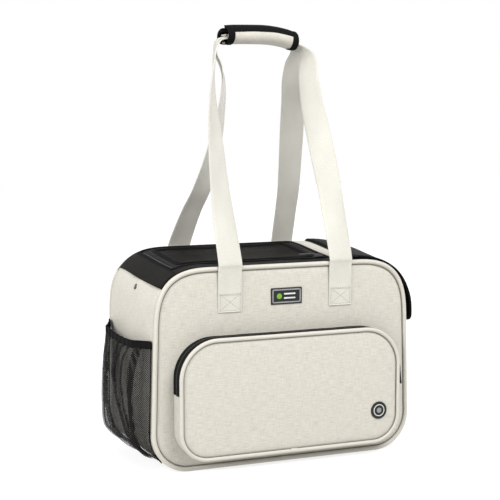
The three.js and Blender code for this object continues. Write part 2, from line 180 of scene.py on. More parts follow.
class Nodes:
    """A small helper that adds and links shader nodes."""

    def __init__(self, name):
        self.material = bpy.data.materials.new(name)
        self.material.use_nodes = True
        self.tree = self.material.node_tree
        self.shader = self.tree.nodes["Principled BSDF"]
        self.output = self.tree.nodes["Material Output"]

    def add(self, kind, inputs=None, **settings):
        node = self.tree.nodes.new(kind)
        for key, value in settings.items():
            setattr(node, key, value)
        for key, value in (inputs or {}).items():
            if hasattr(value, "is_output"):
                self.tree.links.new(value, node.inputs[key])
            else:
                node.inputs[key].default_value = value
        return node

    def link(self, source, target):
        self.tree.links.new(source, target)

    def uv(self, scale, turn=0.0):
        place = self.add("ShaderNodeTexCoord")
        mapping = self.add("ShaderNodeMapping", {"Vector": place.outputs["UV"], "Scale": scale})
        mapping.inputs["Rotation"].default_value = (0, 0, turn)
        return mapping.outputs["Vector"]

    def own(self, scale):
        place = self.add("ShaderNodeTexCoord")
        mapping = self.add("ShaderNodeMapping", {"Vector": place.outputs["Object"], "Scale": scale})
        return mapping.outputs["Vector"]

    def noise(self, vector, detail=2.0, rough=0.5):
        node = self.add(
            "ShaderNodeTexNoise", {"Vector": vector, "Scale": 1.0, "Detail": detail, "Roughness": rough}
        )
        return node.outputs["Fac"]

    def math(self, operation, a, b=0.0, c=0.0):
        node = self.add("ShaderNodeMath", operation=operation)
        for socket, value in zip(node.inputs, (a, b, c)):
            if hasattr(value, "is_output"):
                self.link(value, socket)
            else:
                socket.default_value = value
        return node.outputs[0]

    def ramp(self, value, stops):
        node = self.add("ShaderNodeValToRGB", {"Fac": value})
        elements = node.color_ramp.elements
        while len(elements) < len(stops):
            elements.new(0.5)
        for element, (place, color) in zip(elements, stops):
            element.position = place
            element.color = (*color, 1)
        return node.outputs["Color"]

    def surface(self, settings):
        """Sets the shader's own sockets, each to a value or to a linked output."""
        for name, value in settings.items():
            if hasattr(value, "is_output"):
                self.link(value, self.shader.inputs[name])
            else:
                self.shader.inputs[name].default_value = value
        return self.material

    def weave(self, place, thread):
        """Crossing threads of a plain weave."""
        waves = [
            self.add(
                "ShaderNodeTexWave", {"Vector": place((1, 1, 1)), "Scale": WAVE_SCALE / thread},
                bands_direction=way
            )
            for way in "XY"
        ]
        return self.math("MULTIPLY", waves[0].outputs["Fac"], waves[1].outputs["Fac"])

    def bump(self, height, distance, strength=1.0):
        node = self.add("ShaderNodeBump", {"Height": height, "Distance": distance, "Strength": strength})
        self.link(node.outputs["Normal"], self.shader.inputs["Normal"])


WAVE_SCALE = 0.314  # The wave texture's scale that gives one rib to a metre.


def shade(color, factor):
    return tuple(min(1.0, c * factor) for c in color)


def canvas(name, color, contrast=0.07, thread=0.8 * MM, sheen=0.15, use_uv=True):
    """Heathered plain-woven fabric: slubby warp and weft streaks over a fine weave."""
    nodes = Nodes(name)
    place = nodes.uv if use_uv else nodes.own
    weft = nodes.noise(place((70, 1050, 700)), 3.0, 0.65)
    warp = nodes.noise(place((1050, 70, 700)), 3.0, 0.65)
    streaks = nodes.math("ADD", nodes.math("MULTIPLY", weft, 0.6), nodes.math("MULTIPLY", warp, 0.4))
    colors = nodes.ramp(
        streaks, [(0.38, shade(color, 1 - 1.7 * contrast)), (0.62, shade(color, 1 + contrast))]
    )
    weave = nodes.weave(place, thread)
    height = nodes.math("ADD", nodes.math("MULTIPLY", weave, 0.5), streaks)
    nodes.bump(height, 0.35 * MM, 0.6)
    return nodes.surface({
        "Base Color": colors, "Roughness": 0.86,
        "Sheen Weight": sheen, "Sheen Roughness": 0.5, "Specular IOR Level": 0.25
    })


def herringbone(name, color, column=6 * MM, pitch=1.5 * MM, contrast=0.06):
    """Webbing: diagonal ribs that turn back at each column, from the strap's own UV."""
    nodes = Nodes(name)
    split = nodes.add("ShaderNodeSeparateXYZ", {"Vector": nodes.uv((1, 1, 1))})
    zigzag = nodes.math("PINGPONG", split.outputs["X"], column)
    diagonal = nodes.math("ADD", split.outputs["Y"], nodes.math("MULTIPLY", zigzag, 0.9))
    ribs = nodes.math("PINGPONG", diagonal, pitch / 2)
    ribs = nodes.math("DIVIDE", ribs, pitch / 2)
    grain = nodes.noise(nodes.uv((900, 500, 1)), 2.0)
    blotch = nodes.noise(nodes.uv((30, 12, 1)), 2.0)
    tone = nodes.math("ADD", nodes.math("MULTIPLY", ribs, 0.3), nodes.math("MULTIPLY", grain, 0.5))
    tone = nodes.math("ADD", tone, nodes.math("MULTIPLY", blotch, 0.35))
    colors = nodes.ramp(tone, [(0.35, shade(color, 1 - 1.6 * contrast)), (0.75, shade(color, 1 + contrast))])
    nodes.bump(nodes.math("ADD", ribs, nodes.math("MULTIPLY", grain, 0.5)), 0.3 * MM, 0.7)
    return nodes.surface({
        "Base Color": colors, "Roughness": 0.8,
        "Sheen Weight": 0.2, "Specular IOR Level": 0.3
    })


def nylon(name, color, rough=0.62, thread=0.7 * MM, use_uv=True):
    nodes = Nodes(name)
    place = nodes.uv if use_uv else nodes.own
    weave = nodes.weave(place, thread)
    grain = nodes.noise(place((500, 500, 500)), 2.0)
    crease = nodes.noise(place((28, 28, 28)), 2.0)
    tone = nodes.math("ADD", nodes.math("MULTIPLY", weave, 0.5), nodes.math("MULTIPLY", grain, 0.5))
    colors = nodes.ramp(tone, [(0.2, shade(color, 0.6)), (0.8, shade(color, 1.5))])
    height = nodes.math("ADD", tone, nodes.math("MULTIPLY", crease, 4.0))
    nodes.bump(height, 0.3 * MM, 0.8)
    return nodes.surface({"Base Color": colors, "Roughness": rough, "Specular IOR Level": 0.12})


def net(name, color, pitch=2.2 * MM, hole=0.36, turn=0.0, shine=0.3):
    """Knitted mesh: round holes on a staggered grid, cut by transparency."""
    nodes = Nodes(name)
    cells = nodes.add(
        "ShaderNodeTexVoronoi",
        {"Vector": nodes.uv((1 / pitch, 1.15 / pitch, 0), turn), "Scale": 1.0, "Randomness": 0.0},
        feature="F1", voronoi_dimensions="2D",
    )
    edge = nodes.math("SUBTRACT", cells.outputs["Distance"], hole)
    solid = nodes.math("GREATER_THAN", edge, 0.0)
    grain = nodes.noise(nodes.uv((700, 700, 1)), 2.0)
    colors = nodes.ramp(grain, [(0.3, shade(color, 0.7)), (0.7, shade(color, 1.3))])
    nodes.bump(cells.outputs["Distance"], 0.4 * MM, 0.8)
    return nodes.surface({
        "Base Color": colors, "Alpha": solid,
        "Roughness": 0.6, "Specular IOR Level": shine
    })


def ribbed(name, color, rib=1.2 * MM):
    """Elastic or grosgrain tape: fine ribs across its length."""
    nodes = Nodes(name)
    ribs = nodes.add(
        "ShaderNodeTexWave", {"Vector": nodes.uv((1, 1, 1)), "Scale": WAVE_SCALE / rib},
        bands_direction="X"
    )
    grain = nodes.noise(nodes.uv((600, 600, 1)), 2.0)
    colors = nodes.ramp(grain, [(0.3, shade(color, 0.7)), (0.7, shade(color, 1.3))])
    nodes.bump(nodes.math("ADD", ribs.outputs["Fac"], nodes.math("MULTIPLY", grain, 0.3)), 0.3 * MM, 0.8)
    return nodes.surface({"Base Color": colors, "Roughness": 0.75, "Specular IOR Level": 0.06})


def moulded(name, color, rough=0.5, grain_size=2500, metallic=0.0):
    """Moulded rubber, plastic or lacquered metal with a fine grain."""
    nodes = Nodes(name)
    grain = nodes.noise(nodes.own((grain_size,) * 3), 2.0)
    wear = nodes.noise(nodes.own((90, 90, 90)), 3.0)
    tone = nodes.math("ADD", nodes.math("MULTIPLY", grain, 0.3), nodes.math("MULTIPLY", wear, 0.7))
    colors = nodes.ramp(tone, [(0.35, shade(color, 0.85)), (0.7, shade(color, 1.15))])
    span = nodes.add("ShaderNodeMapRange", {"Value": wear, "To Min": rough - 0.08, "To Max": rough + 0.08})
    nodes.link(span.outputs["Result"], nodes.shader.inputs["Roughness"])
    nodes.bump(grain, 0.06 * MM, 0.5)
    return nodes.surface({"Base Color": colors, "Metallic": metallic, "Specular IOR Level": 0.3})


def fleece(name, color):
    nodes = Nodes(name)
    curl = nodes.noise(nodes.own((350, 350, 350)), 4.0, 0.7)
    clump = nodes.noise(nodes.own((45, 45, 45)), 2.0)
    tone = nodes.math("ADD", nodes.math("MULTIPLY", curl, 0.6), nodes.math("MULTIPLY", clump, 0.4))
    colors = nodes.ramp(tone, [(0.35, shade(color, 0.82)), (0.65, shade(color, 1.08))])
    nodes.bump(tone, 2.5 * MM, 0.9)
    return nodes.surface({"Base Color": colors, "Roughness": 0.95, "Sheen Weight": 0.4})


CREAM = (0.378, 0.361, 0.317)
MATERIALS = {
    "cream_fabric": canvas("cream_canvas", CREAM, 0.10),
    "cream_piping": canvas("cream_piping", shade(CREAM, 1.02), 0.06),
    "cream_webbing": herringbone("cream_webbing", (0.40, 0.388, 0.348), contrast=0.14),
    # Grey-cream thread, darkened further as painted shade of the grooves the stitches sink into.
    "thread_with_painted_groove_shade": moulded("thread_with_painted_groove_shade", (0.27, 0.255, 0.215), 0.6),
    # Dark cord along each piping: its colour is painted shade of the seam groove.
    "painted_seam_groove_shade": moulded("painted_seam_groove_shade", (0.125, 0.117, 0.098), 0.8),
    "lining": nylon("grey_lining", (0.18, 0.175, 0.16), 0.7),
    "black_nylon": nylon("black_nylon", (0.0035, 0.0035, 0.0032)),
    "black_binding": ribbed("black_binding", (0.003, 0.003, 0.003)),
    "black_webbing": herringbone("black_webbing", (0.02, 0.02, 0.02)),
    "zip_tape": ribbed("zip_tape", (0.007, 0.007, 0.007), 0.7 * MM),
    "zip_coil": moulded("zip_coil", (0.02, 0.02, 0.02), 0.35),
    "dark_mesh": net("dark_mesh", (0.007, 0.007, 0.0066), 2.4 * MM, 0.325, math.pi / 4, 0.06),
    "hatch_net": net("hatch_net", (0.010, 0.009, 0.007), 1.5 * MM, 0.24),
    "hook_and_loop": fleece("hook_and_loop", (0.02, 0.02, 0.02)),
    "snap_metal": moulded("snap_metal", (0.62, 0.61, 0.58), 0.25, 1500, 1.0),
    "snap_dark": moulded("snap_dark", (0.10, 0.098, 0.09), 0.3, 1500, 1.0),
    "zip_metal": moulded("zip_metal", (0.03, 0.03, 0.03), 0.32),
    "rubber_label": moulded("label_rubber", (0.006, 0.006, 0.006), 0.5),
    "label_grey": moulded("label_grey", (0.17, 0.175, 0.17), 0.5),
    "label_white": moulded("label_white", (0.42, 0.42, 0.41), 0.5),
    "label_green": moulded("label_green", (0.10, 0.23, 0.015), 0.5),
    "base_board": moulded("board", (0.06, 0.055, 0.05), 0.7),
    "fleece": fleece("mat_fleece", (0.40, 0.377, 0.33)),
}

# ---- Mesh building ------------------------------------------------------------------------------


def unit(rows):
    """Each row scaled to unit length."""
    return rows / np.linalg.norm(rows, axis=1)[:, None]


def resample(at, places, rows):
    """Rows of numbers known at some places, read off at others."""
    return np.stack([np.interp(at, places, column) for column in rows.T], axis=1)


def lengths_along(path):
    """Distance of each point from the first one, along the path."""
    return np.concatenate([[0], np.cumsum(np.linalg.norm(np.diff(path, axis=0), axis=1))])


def smoothstep(value, start, end):
    share = np.clip((np.asarray(value, float) - start) / (end - start), 0, 1)
    return share * share * (3 - 2 * share)


def ripple(points, wavelength, seed, count=7):
    """Smooth noise of about unit height over an array of points."""
    draw = np.random.default_rng(seed)
    total = np.zeros(points.shape[:-1])
    for _ in range(count):
        heading = draw.normal(size=3)
        heading *= 2 * math.pi / (wavelength * draw.uniform(0.7, 1.6)) / np.linalg.norm(heading)
        total += np.sin(points @ heading + draw.uniform(0, 2 * math.pi))
    return total / math.sqrt(count)


def add_mesh(name, vertices, faces, material, uvs=None):
    mesh = bpy.data.meshes.new(name)
    mesh.from_pydata([tuple(map(float, v)) for v in vertices], [], [tuple(map(int, f)) for f in faces])
    if uvs is not None:
        layer = mesh.uv_layers.new(name="UVMap")
        loops = np.zeros(len(mesh.loops), np.int32)
        mesh.loops.foreach_get("vertex_index", loops)
        layer.data.foreach_set("uv", np.asarray(uvs, np.float32)[loops].ravel())
    mesh.materials.append(MATERIALS[material])
    mesh.polygons.foreach_set("use_smooth", [True] * len(mesh.polygons))
    mesh.update()
    piece = bpy.data.objects.new(name, mesh)
    bpy.context.scene.collection.objects.link(piece)
    return piece


def grid_faces(rows, columns, wrap_rows=False, wrap_columns=False, start=0, flip=False):
    faces = []
    for i in range(rows if wrap_rows else rows - 1):
        for j in range(columns if wrap_columns else columns - 1):
            a, b = i * columns + j, ((i + 1) % rows) * columns + j
            c, d = ((i + 1) % rows) * columns + (j + 1) % columns, i * columns + (j + 1) % columns
            face = (start + a, start + b, start + c, start + d)
            faces.append(face[::-1] if flip else face)
    return faces


def arc_lengths(points, axis):
    """Distance along an axis of a grid of points, averaged over the other one."""
    steps = np.linalg.norm(np.diff(points, axis=axis), axis=2).mean(axis=1 - axis)
    return np.concatenate([[0], np.cumsum(steps)])


def flat_uvs(points):
    """UVs in metres for a grid of points, from its own lengths."""
    u, v = np.meshgrid(arc_lengths(points, 0), arc_lengths(points, 1), indexing="ij")
    return np.stack([v.ravel(), u.ravel()], axis=1)


def sheet_mesh(name, points, material, thick=0.0, flip=False, lining=None):
    """A grid of points as a sheet, given thickness inwards, with UVs in metres."""
    rows, columns = points.shape[:2]
    piece = add_mesh(
        name, points.reshape(-1, 3), grid_faces(rows, columns, flip=flip), material, flat_uvs(points)
    )
    if thick:
        thicken(piece, thick, lining)
    return piece


def thicken(piece, thick, lining=None):
    modifier = piece.modifiers.new("thickness", "SOLIDIFY")
    modifier.thickness = thick
    modifier.offset = -1
    modifier.use_even_offset = True
    if lining:
        piece.data.materials.append(MATERIALS[lining])
        modifier.material_offset = 1


def frames_along(path, closed=False):
    """Tangent, and two directions across, carried along a path without twist."""
    if closed:
        tangents = np.roll(path, -1, axis=0) - np.roll(path, 1, axis=0)
    else:
        tangents = np.gradient(path, axis=0)
    tangents = unit(tangents)
    across = np.cross(tangents[0], [0.0, 0.0, 1.0])
    if np.linalg.norm(across) < 0.1:
        across = np.cross(tangents[0], [0.0, 1.0, 0.0])
    sides = []
    for tangent in tangents:
        across = across - tangent * (across @ tangent)
        across /= np.linalg.norm(across)
        sides.append(across.copy())
    sides = np.array(sides)
    return tangents, sides, np.cross(tangents, sides)


def sweep(name, path, section, material, across=None, closed=False, scale=None):
    """Sweeps a closed section of (across, out) points along a path, with rounded caps of its own section."""
    path = np.asarray(path, float)
    tangents, sides, normals = frames_along(path, closed)
    if across is not None:
        sides = across - tangents * np.sum(across * tangents, axis=1)[:, None]
        sides = unit(sides)
        normals = np.cross(sides, tangents)
    section = np.asarray(section, float)
    wide = np.ones(len(path)) if scale is None else scale
    points = (
        path[:, None]
        + sides[:, None] * (section[:, 0] * wide[:, None])[..., None]
        + normals[:, None] * section[None, :, 1, None]
    )
    rows, columns = points.shape[:2]
    faces = grid_faces(rows, columns, wrap_rows=closed, wrap_columns=True, flip=True)
    if not closed:
        faces.append(tuple(range(columns)))
        faces.append(tuple(range((rows - 1) * columns, rows * columns))[::-1])
    around = lengths_along(section)
    along = lengths_along(path)
    u, v = np.meshgrid(along, around, indexing="ij")
    piece = add_mesh(name, points.reshape(-1, 3), faces, material, np.stack([v.ravel(), u.ravel()], axis=1))
    return close_up(piece)


def ring_section(radius, sides=12, squash=1.0):
    angles = np.linspace(0, 2 * math.pi, sides, endpoint=False)
    return np.stack([radius * np.cos(angles), radius * squash * np.sin(angles)], axis=1)


def ribbon_section(width, thick):
    """A flat strip with rounded selvedges, as (across, out) points."""
    half, edge = width / 2, thick / 2
    flat = np.linspace(-half + edge, half - edge, 9)
    turn = np.linspace(-math.pi / 2, math.pi / 2, 5)[1:-1]
    right = np.stack([half - edge + edge * np.cos(turn), edge * np.sin(turn)], axis=1)
    left = np.stack([-half + edge - edge * np.cos(turn), -edge * np.sin(turn)], axis=1)
    bottom = np.stack([flat, np.full(9, -edge)], axis=1)
    top = np.stack([flat[::-1], np.full(9, edge)], axis=1)
    return np.concatenate([bottom, right, top, left])


def smooth_path(points, steps):
    """A Catmull-Rom curve through rows of numbers, steps points to each span."""
    points = np.asarray(points, float)
    padded = np.concatenate([[2 * points[0] - points[1]], points, [2 * points[-1] - points[-2]]])
    out = []
    for i in range(1, len(padded) - 2):
        p0, p1, p2, p3 = padded[i - 1 : i + 3]
        for t in np.linspace(0, 1, steps, endpoint=False):
            out.append(0.5 * (
                2 * p1 + (p2 - p0) * t + (2 * p0 - 5 * p1 + 4 * p2 - p3) * t * t
                + (3 * p1 - p0 - 3 * p2 + p3) * t ** 3
            ))
    out.append(points[-1])
    return np.array(out)


def evenly(path, step, closed=False):
    """The path again, with points one step apart."""
    if closed:
        path = np.concatenate([path, path[:1]])
    lengths = lengths_along(path)
    count = max(2, int(round(lengths[-1] / step)) + (0 if closed else 1))
    at = np.linspace(0, lengths[-1], count, endpoint=not closed)
    return resample(at, lengths, path)


# Stitches default to the thread colour that carries painted shade of the stitch grooves.
def stitch_mesh(name, lines, material="thread_with_painted_groove_shade", pitch=3.2 * MM, length=2.3 * MM, radius=0.45 * MM):
    """Rows of sewing stitches: a short rounded capsule on each pitch of every line."""
    vertices, faces = [], []
    profile = [(-0.5, 0.25), (-0.38, 0.8), (0.0, 1.0), (0.38, 0.8), (0.5, 0.25)]
    sides = 6
    for line in lines:
        line = evenly(np.asarray(line, float), pitch)
        tangents, across, up = frames_along(line)
        for centre, tangent, side, normal in zip(line, tangents, across, up):
            start = len(vertices)
            for place, size in profile:
                for k in range(sides):
                    angle = 2 * math.pi * k / sides
                    offset = side * math.cos(angle) + normal * math.sin(angle)
                    vertices.append(centre + tangent * (place * length) + offset * (radius * size))
            faces += grid_faces(len(profile), sides, wrap_columns=True, start=start)
            faces.append(tuple(start + k for k in range(sides))[::-1])
            faces.append(tuple(start + (len(profile) - 1) * sides + k for k in range(sides)))
    return add_mesh(name, vertices, faces, material)


def stand_for(piece, nodes):
    if nodes:
        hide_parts(*nodes)
    return piece


def attach(piece, body, stands_for=()):
    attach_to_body(piece, body)
    return stand_for(piece, stands_for)


def bend(piece, a, b, start, end, slot=None, stands_for=()):
    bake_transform(piece)
    return stand_for(piece, stands_for)


# ---- Outlines -----------------------------------------------------------------------------------


def outline(station, inset, end, rise=0.0):
    """x and z on the carrier's outline. Stations run anticlockwise seen from the front: 0 is the middle
    of the base, 1 to 2 the base corner, 2 to 3 the end, 3 to 4 the top corner, 5 the middle of the top.
    End runs from 0 at the front to 1 at the back."""
    station, inset, end, rise = np.broadcast_arrays(
        *(np.asarray(a, float) for a in (station, inset, end, rise))
    )
    height = HEIGHT + (BACK_HEIGHT - HEIGHT) * end + rise
    lap = np.mod(station, 10)
    side = np.where(lap > 5, -1.0, 1.0)
    along = np.where(lap > 5, 10 - lap, lap)
    stretch = np.minimum(4, np.floor(along))
    share = along - stretch
    turn = share * math.pi / 2
    square_cos = np.maximum(np.cos(turn), 0) ** TOP_SQUARENESS
    square_sin = np.maximum(np.sin(turn), 0) ** TOP_SQUARENESS
    parts = [stretch == 0, stretch == 1, stretch == 2, stretch == 3]
    x = np.select(parts, [
        share * (HALF_WIDTH - BASE_RADIUS),
        HALF_WIDTH - BASE_RADIUS + (BASE_RADIUS - inset) * np.sin(turn),
        HALF_WIDTH - inset,
        HALF_WIDTH - TOP_RADIUS + (TOP_RADIUS - inset) * square_cos,
    ], (1 - share) * (HALF_WIDTH - TOP_RADIUS))
    z = np.select(parts, [
        inset,
        BASE_RADIUS - (BASE_RADIUS - inset) * np.cos(turn),
        BASE_RADIUS + share * (height - TOP_RADIUS - BASE_RADIUS),
        height - TOP_RADIUS + (TOP_RADIUS - inset) * square_sin,
    ], height - inset)
    return side * x * (1 - (TAPER + (BACK_TAPER - TAPER) * end) * z / HEIGHT), z


def stations(start, end, step=6 * MM):
    """Stations from start to end, about one step apart along the outline."""
    fine = np.linspace(start, end, 4000)
    x, z = outline(fine, 0.0, 0.0)
    lengths = np.concatenate([[0], np.cumsum(np.hypot(np.diff(x), np.diff(z)))])
    count = max(3, int(round(lengths[-1] / step)) + 1)
    return np.interp(np.linspace(0, lengths[-1], count), lengths, fine)


def pocket_outline(inset, step=5 * MM):
    """Closed x, z points round the front pocket, starting at the right end of its base."""
    corners = [
        (POCKET_HALF - POCKET_BASE_RADIUS, POCKET_BASE + POCKET_BASE_RADIUS, POCKET_BASE_RADIUS, -90),
        (POCKET_HALF - POCKET_TOP_RADIUS, POCKET_TOP - POCKET_TOP_RADIUS, POCKET_TOP_RADIUS, 0),
        (POCKET_TOP_RADIUS - POCKET_HALF, POCKET_TOP - POCKET_TOP_RADIUS, POCKET_TOP_RADIUS, 90),
        (POCKET_BASE_RADIUS - POCKET_HALF, POCKET_BASE + POCKET_BASE_RADIUS, POCKET_BASE_RADIUS, 180),
    ]
    points = []
    for x, z, radius, start in corners:
        for angle in np.radians(np.linspace(start, start + 90, 19)):
            points.append((x + (radius - inset) * math.cos(angle), 0, z + (radius - inset) * math.sin(angle)))
    return evenly(np.array(points), step, closed=True)[:, [0, 2]]


def skin_points(station, y, inset):
    """The skin between the front and back piping, bellied out, and swollen up behind the hatch."""
    end = (y - SKIN_FRONT) / (SKIN_BACK - SKIN_FRONT)
    middle = 1 - (2 * end - 1) ** 2
    swell = BACK_SWELL * smoothstep(end, 0.3, 0.9) * (1 - smoothstep(end, 0.92, 1))
    rise = swell * smoothstep(outline(station, inset, end)[1], 0.15, 0.28)
    z = outline(station, inset, end, rise)[1]
    belly = BELLY * middle * smoothstep(z, 0.02, 0.1)
    x, up = outline(station, inset - belly, end, rise)
    return np.stack(np.broadcast_arrays(x, y, up), axis=-1)


def spaced(marks, step):
    """Numbers from the first mark to the last, through every mark, no more than a step apart."""
    out = [marks[0]]
    for a, b in zip(marks, marks[1:]):
        out.extend(np.linspace(a, b, max(1, math.ceil(abs(b - a) / step)) + 1)[1:])
    return np.array(out)


def face_away(piece, centre=(0, 0, 0.15)):
    """Turns a sheet's faces so that they look away from a point."""
    mesh = piece.data
    total = 0.0
    for polygon in mesh.polygons:
        total += polygon.area * polygon.normal.dot(Vector(polygon.center) - Vector(centre))
    if total < 0:
        mesh.flip_normals()
    return piece


def close_up(piece):
    """Turns a closed mesh's faces outwards."""
    mesh = piece.data
    volume = 0.0
    for polygon in mesh.polygons:
        volume += polygon.area * polygon.normal.dot(polygon.center)
    if volume < 0:
        mesh.flip_normals()
    return piece


def rounded_gap(x, z, half, low_z, high_z, base_radius, top_radius):
    """How far a point is inside a rounded rectangle; negative outside."""
    middle = (low_z + high_z) / 2
    radius = np.where(z > middle, top_radius, base_radius)
    across = np.abs(x) - (half - radius)
    up = np.where(z > middle, z - (high_z - radius), (low_z + radius) - z)
    outside = np.hypot(np.maximum(across, 0), np.maximum(up, 0))
    return radius - outside - np.minimum(np.maximum(across, up), 0)


def settle(pieces, frames=20):
    """Runs the cloth solver on several pieces at once and applies the result, within each one's cap."""
    scene = bpy.context.scene
    for piece, pressure, shrink, _ in pieces:
        modifier = piece.modifiers.new("cloth", "CLOTH")
        modifier.point_cache.frame_start = 1
        modifier.point_cache.frame_end = frames
        cloth = modifier.settings
        cloth.quality = 6
        cloth.use_pressure = True
        cloth.uniform_pressure_force = pressure
        cloth.effector_weights.gravity = 0
        cloth.shrink_min = shrink
        if "pinned" in piece.vertex_groups:
            cloth.vertex_group_mass = "pinned"
    for number in range(1, frames + 1):
        scene.frame_set(number)
    depsgraph = bpy.context.evaluated_depsgraph_get()
    for piece, _, _, cap in pieces:
        mesh = piece.evaluated_get(depsgraph).to_mesh()
        moved = np.zeros(len(mesh.vertices) * 3)
        mesh.vertices.foreach_get("co", moved)
        rest = np.zeros(len(piece.data.vertices) * 3)
        piece.data.vertices.foreach_get("co", rest)
        shift = (moved - rest).reshape(-1, 3)
        reach = np.linalg.norm(shift, axis=1)[:, None]
        shift *= np.minimum(1, cap / np.maximum(reach, 1e-9))
        piece.data.vertices.foreach_set("co", rest + shift.ravel())
        piece.modifiers.remove(piece.modifiers["cloth"])
        piece.data.update()
    scene.frame_set(1)


class Bulge:
    """How far a sewn-in sheet of fabric stands out, from 0 to 1, settled by the cloth solver."""

    def __init__(self, name, gap_at, half, low_z, high_z, step=8 * MM):
        self.step, self.low = step, np.array([-half, low_z])
        self.size = (int(2 * half / step) + 2, int((high_z - low_z) / step) + 2)
        i, j = np.meshgrid(np.arange(self.size[0]), np.arange(self.size[1]), indexing="ij")
        x, z = self.low[0] + i * step, self.low[1] + j * step
        gap = gap_at(x, z)
        self.field = smoothstep(gap, 0, 0.4 * min(half, (high_z - low_z) / 2))
        slack = np.stack([x, 0.15 * MM * ripple(np.stack([x, 0 * x, z], axis=-1), 0.06, 11), z], axis=-1)
        self.sheet = add_mesh(name, slack.reshape(-1, 3), grid_faces(*self.size), "lining")
        held = np.flatnonzero((gap < 0.6 * step).ravel())
        self.sheet.vertex_groups.new(name="pinned").add([int(k) for k in held], 1.0, "REPLACE")

    def read(self):
        points = np.zeros(len(self.sheet.data.vertices) * 3)
        self.sheet.data.vertices.foreach_get("co", points)
        depth = np.abs(points.reshape(-1, 3)[:, 1]).reshape(self.size)
        if depth.max() > 1 * MM:
            self.field = depth / depth.max()
        bpy.data.objects.remove(self.sheet)

    def __call__(self, x, z):
        place = np.stack([x, z], axis=-1)
        place = np.clip((place - self.low) / self.step, 0, np.array(self.size) - 1.001)
        cell = place.astype(int)
        share = place - cell
        i, j, s, t = cell[..., 0], cell[..., 1], share[..., 0], share[..., 1]
        f = self.field
        return (f[i, j] * (1 - s) + f[i + 1, j] * s) * (1 - t) + (
            f[i, j + 1] * (1 - s) + f[i + 1, j + 1] * s
        ) * t


def carrier_gap(height):
    def gap_at(x, z):
        half = (HALF_WIDTH - PIPING) * (1 - TAPER * z / HEIGHT)
        return rounded_gap(x, z, half, PIPING, height - PIPING, BASE_RADIUS, 65 * MM)
    return gap_at


def pocket_gap(x, z):
    inset = 6 * MM
    return rounded_gap(
        x, z, POCKET_HALF - inset, POCKET_BASE + inset, POCKET_TOP - inset, POCKET_BASE_RADIUS,
        POCKET_TOP_RADIUS
    )


FRONT_BULGE = Bulge("front_bulge", carrier_gap(HEIGHT), 0.21, 0, HEIGHT)
BACK_BULGE = Bulge("back_bulge", carrier_gap(BACK_HEIGHT), 0.21, 0, BACK_HEIGHT)
POCKET_BULGE = Bulge("pocket_bulge", pocket_gap, POCKET_HALF, POCKET_BASE, POCKET_TOP)
settle([(b.sheet, 3.0, -0.006, 60 * MM) for b in (FRONT_BULGE, BACK_BULGE, POCKET_BULGE)], 25)
for bulge in (FRONT_BULGE, BACK_BULGE, POCKET_BULGE):
    bulge.read()

# ---- Shell --------------------------------------------------------------------------------------

EDGE = np.array([0, 0.5, 1.2, 2.4, 4.0, 6.2, 9.0, 13.0]) * MM
CROWN = 2.2 * MM


def front_y(x, z):
    """y of the front panel's face."""
    return PANEL_FRONT - CROWN * FRONT_BULGE(x, z)


def pocket_y(x, z):
    """y of the pocket's face."""
    return POCKET_FRONT + 2 * MM - 1.6 * MM * POCKET_BULGE(x, z)


def edge_roll(rings, drop):
    """How far each ring falls back at a face's sewn edge."""
    roll = np.zeros(rings.shape[:2])
    roll[: len(EDGE)] = ((1 - EDGE / EDGE[-1]) ** 3)[:, None]
    return drop * roll


def ringed_panel(name, ring_at, centre, depth_at, out, drop, material, thick, lining):
    """A padded face: rings from its sewn edge to its middle, one side out."""
    rings = [ring_at(inset) for inset in EDGE]
    rings += [centre + (rings[-1] - centre) * share for share in np.linspace(0.965, 0.03, 30)]
    rings = np.stack(rings)
    y = depth_at(rings[..., 0], rings[..., 1]) - out * edge_roll(rings, drop)
    points = np.stack([rings[..., 0], y, rings[..., 1]], axis=-1)
    count = points.shape[1]
    vertices = np.concatenate([points.reshape(-1, 3), points[-1].mean(axis=0, keepdims=True)])
    faces = grid_faces(points.shape[0], count, wrap_columns=True)
    last = (points.shape[0] - 1) * count
    faces += [(last + j, len(vertices) - 1, last + (j + 1) % count) for j in range(count)]
    piece = add_mesh(name, vertices, faces, material, vertices[:, [0, 2]])
    face_away(piece)
    thicken(piece, thick, lining)
    return piece


def face_panel(name, node, front):
    height, end = (HEIGHT, 0.0) if front else (BACK_HEIGHT, 1.0)
    out = -1 if front else 1
    surface = PANEL_FRONT if front else high("back_panel")[1]
    field = FRONT_BULGE if front else BACK_BULGE
    along = stations(0, 10, 5 * MM)[:-1]
    piece = ringed_panel(
        name,
        lambda inset: np.stack(outline(along, PIPING - 0.9 * MM + inset, end), axis=-1),
        np.array([0, height / 2]),
        lambda x, z: surface + out * CROWN * field(x, z),
        out, 2.6 * MM, "cream_fabric", 4.5 * MM, "lining",
    )
    return attach(piece, "carrier", [node])


def carrier_piping(name, node, front):
    y, end = (FRONT_Y + PIPING / 2, 0.0) if front else (BACK_Y - PIPING / 2, 1.0)
    x, z = outline(stations(0, 10, 4 * MM)[:-1], PIPING / 2, end)
    path = np.stack([x, np.full(len(x), y), z], axis=1)
    cord = sweep(name, path, ring_section(PIPING / 2, 14), "cream_piping", closed=True)
    attach(cord, "carrier", [node])
    # A dark cord in the groove inside the piping: painted shade of the seam groove.
    x, z = outline(stations(0, 10, 4 * MM)[:-1], PIPING + 0.4 * MM, end)
    seam = painted_seam_groove_shade(name.replace("cord", "seam"), x, z, y - (1 - 2 * end) * 1.0 * MM)
    attach(seam, "carrier")
    piping_join(name + "_join", [(-5 * MM, y, PIPING / 2), (6 * MM, y, PIPING / 2)], PIPING / 2, "carrier")


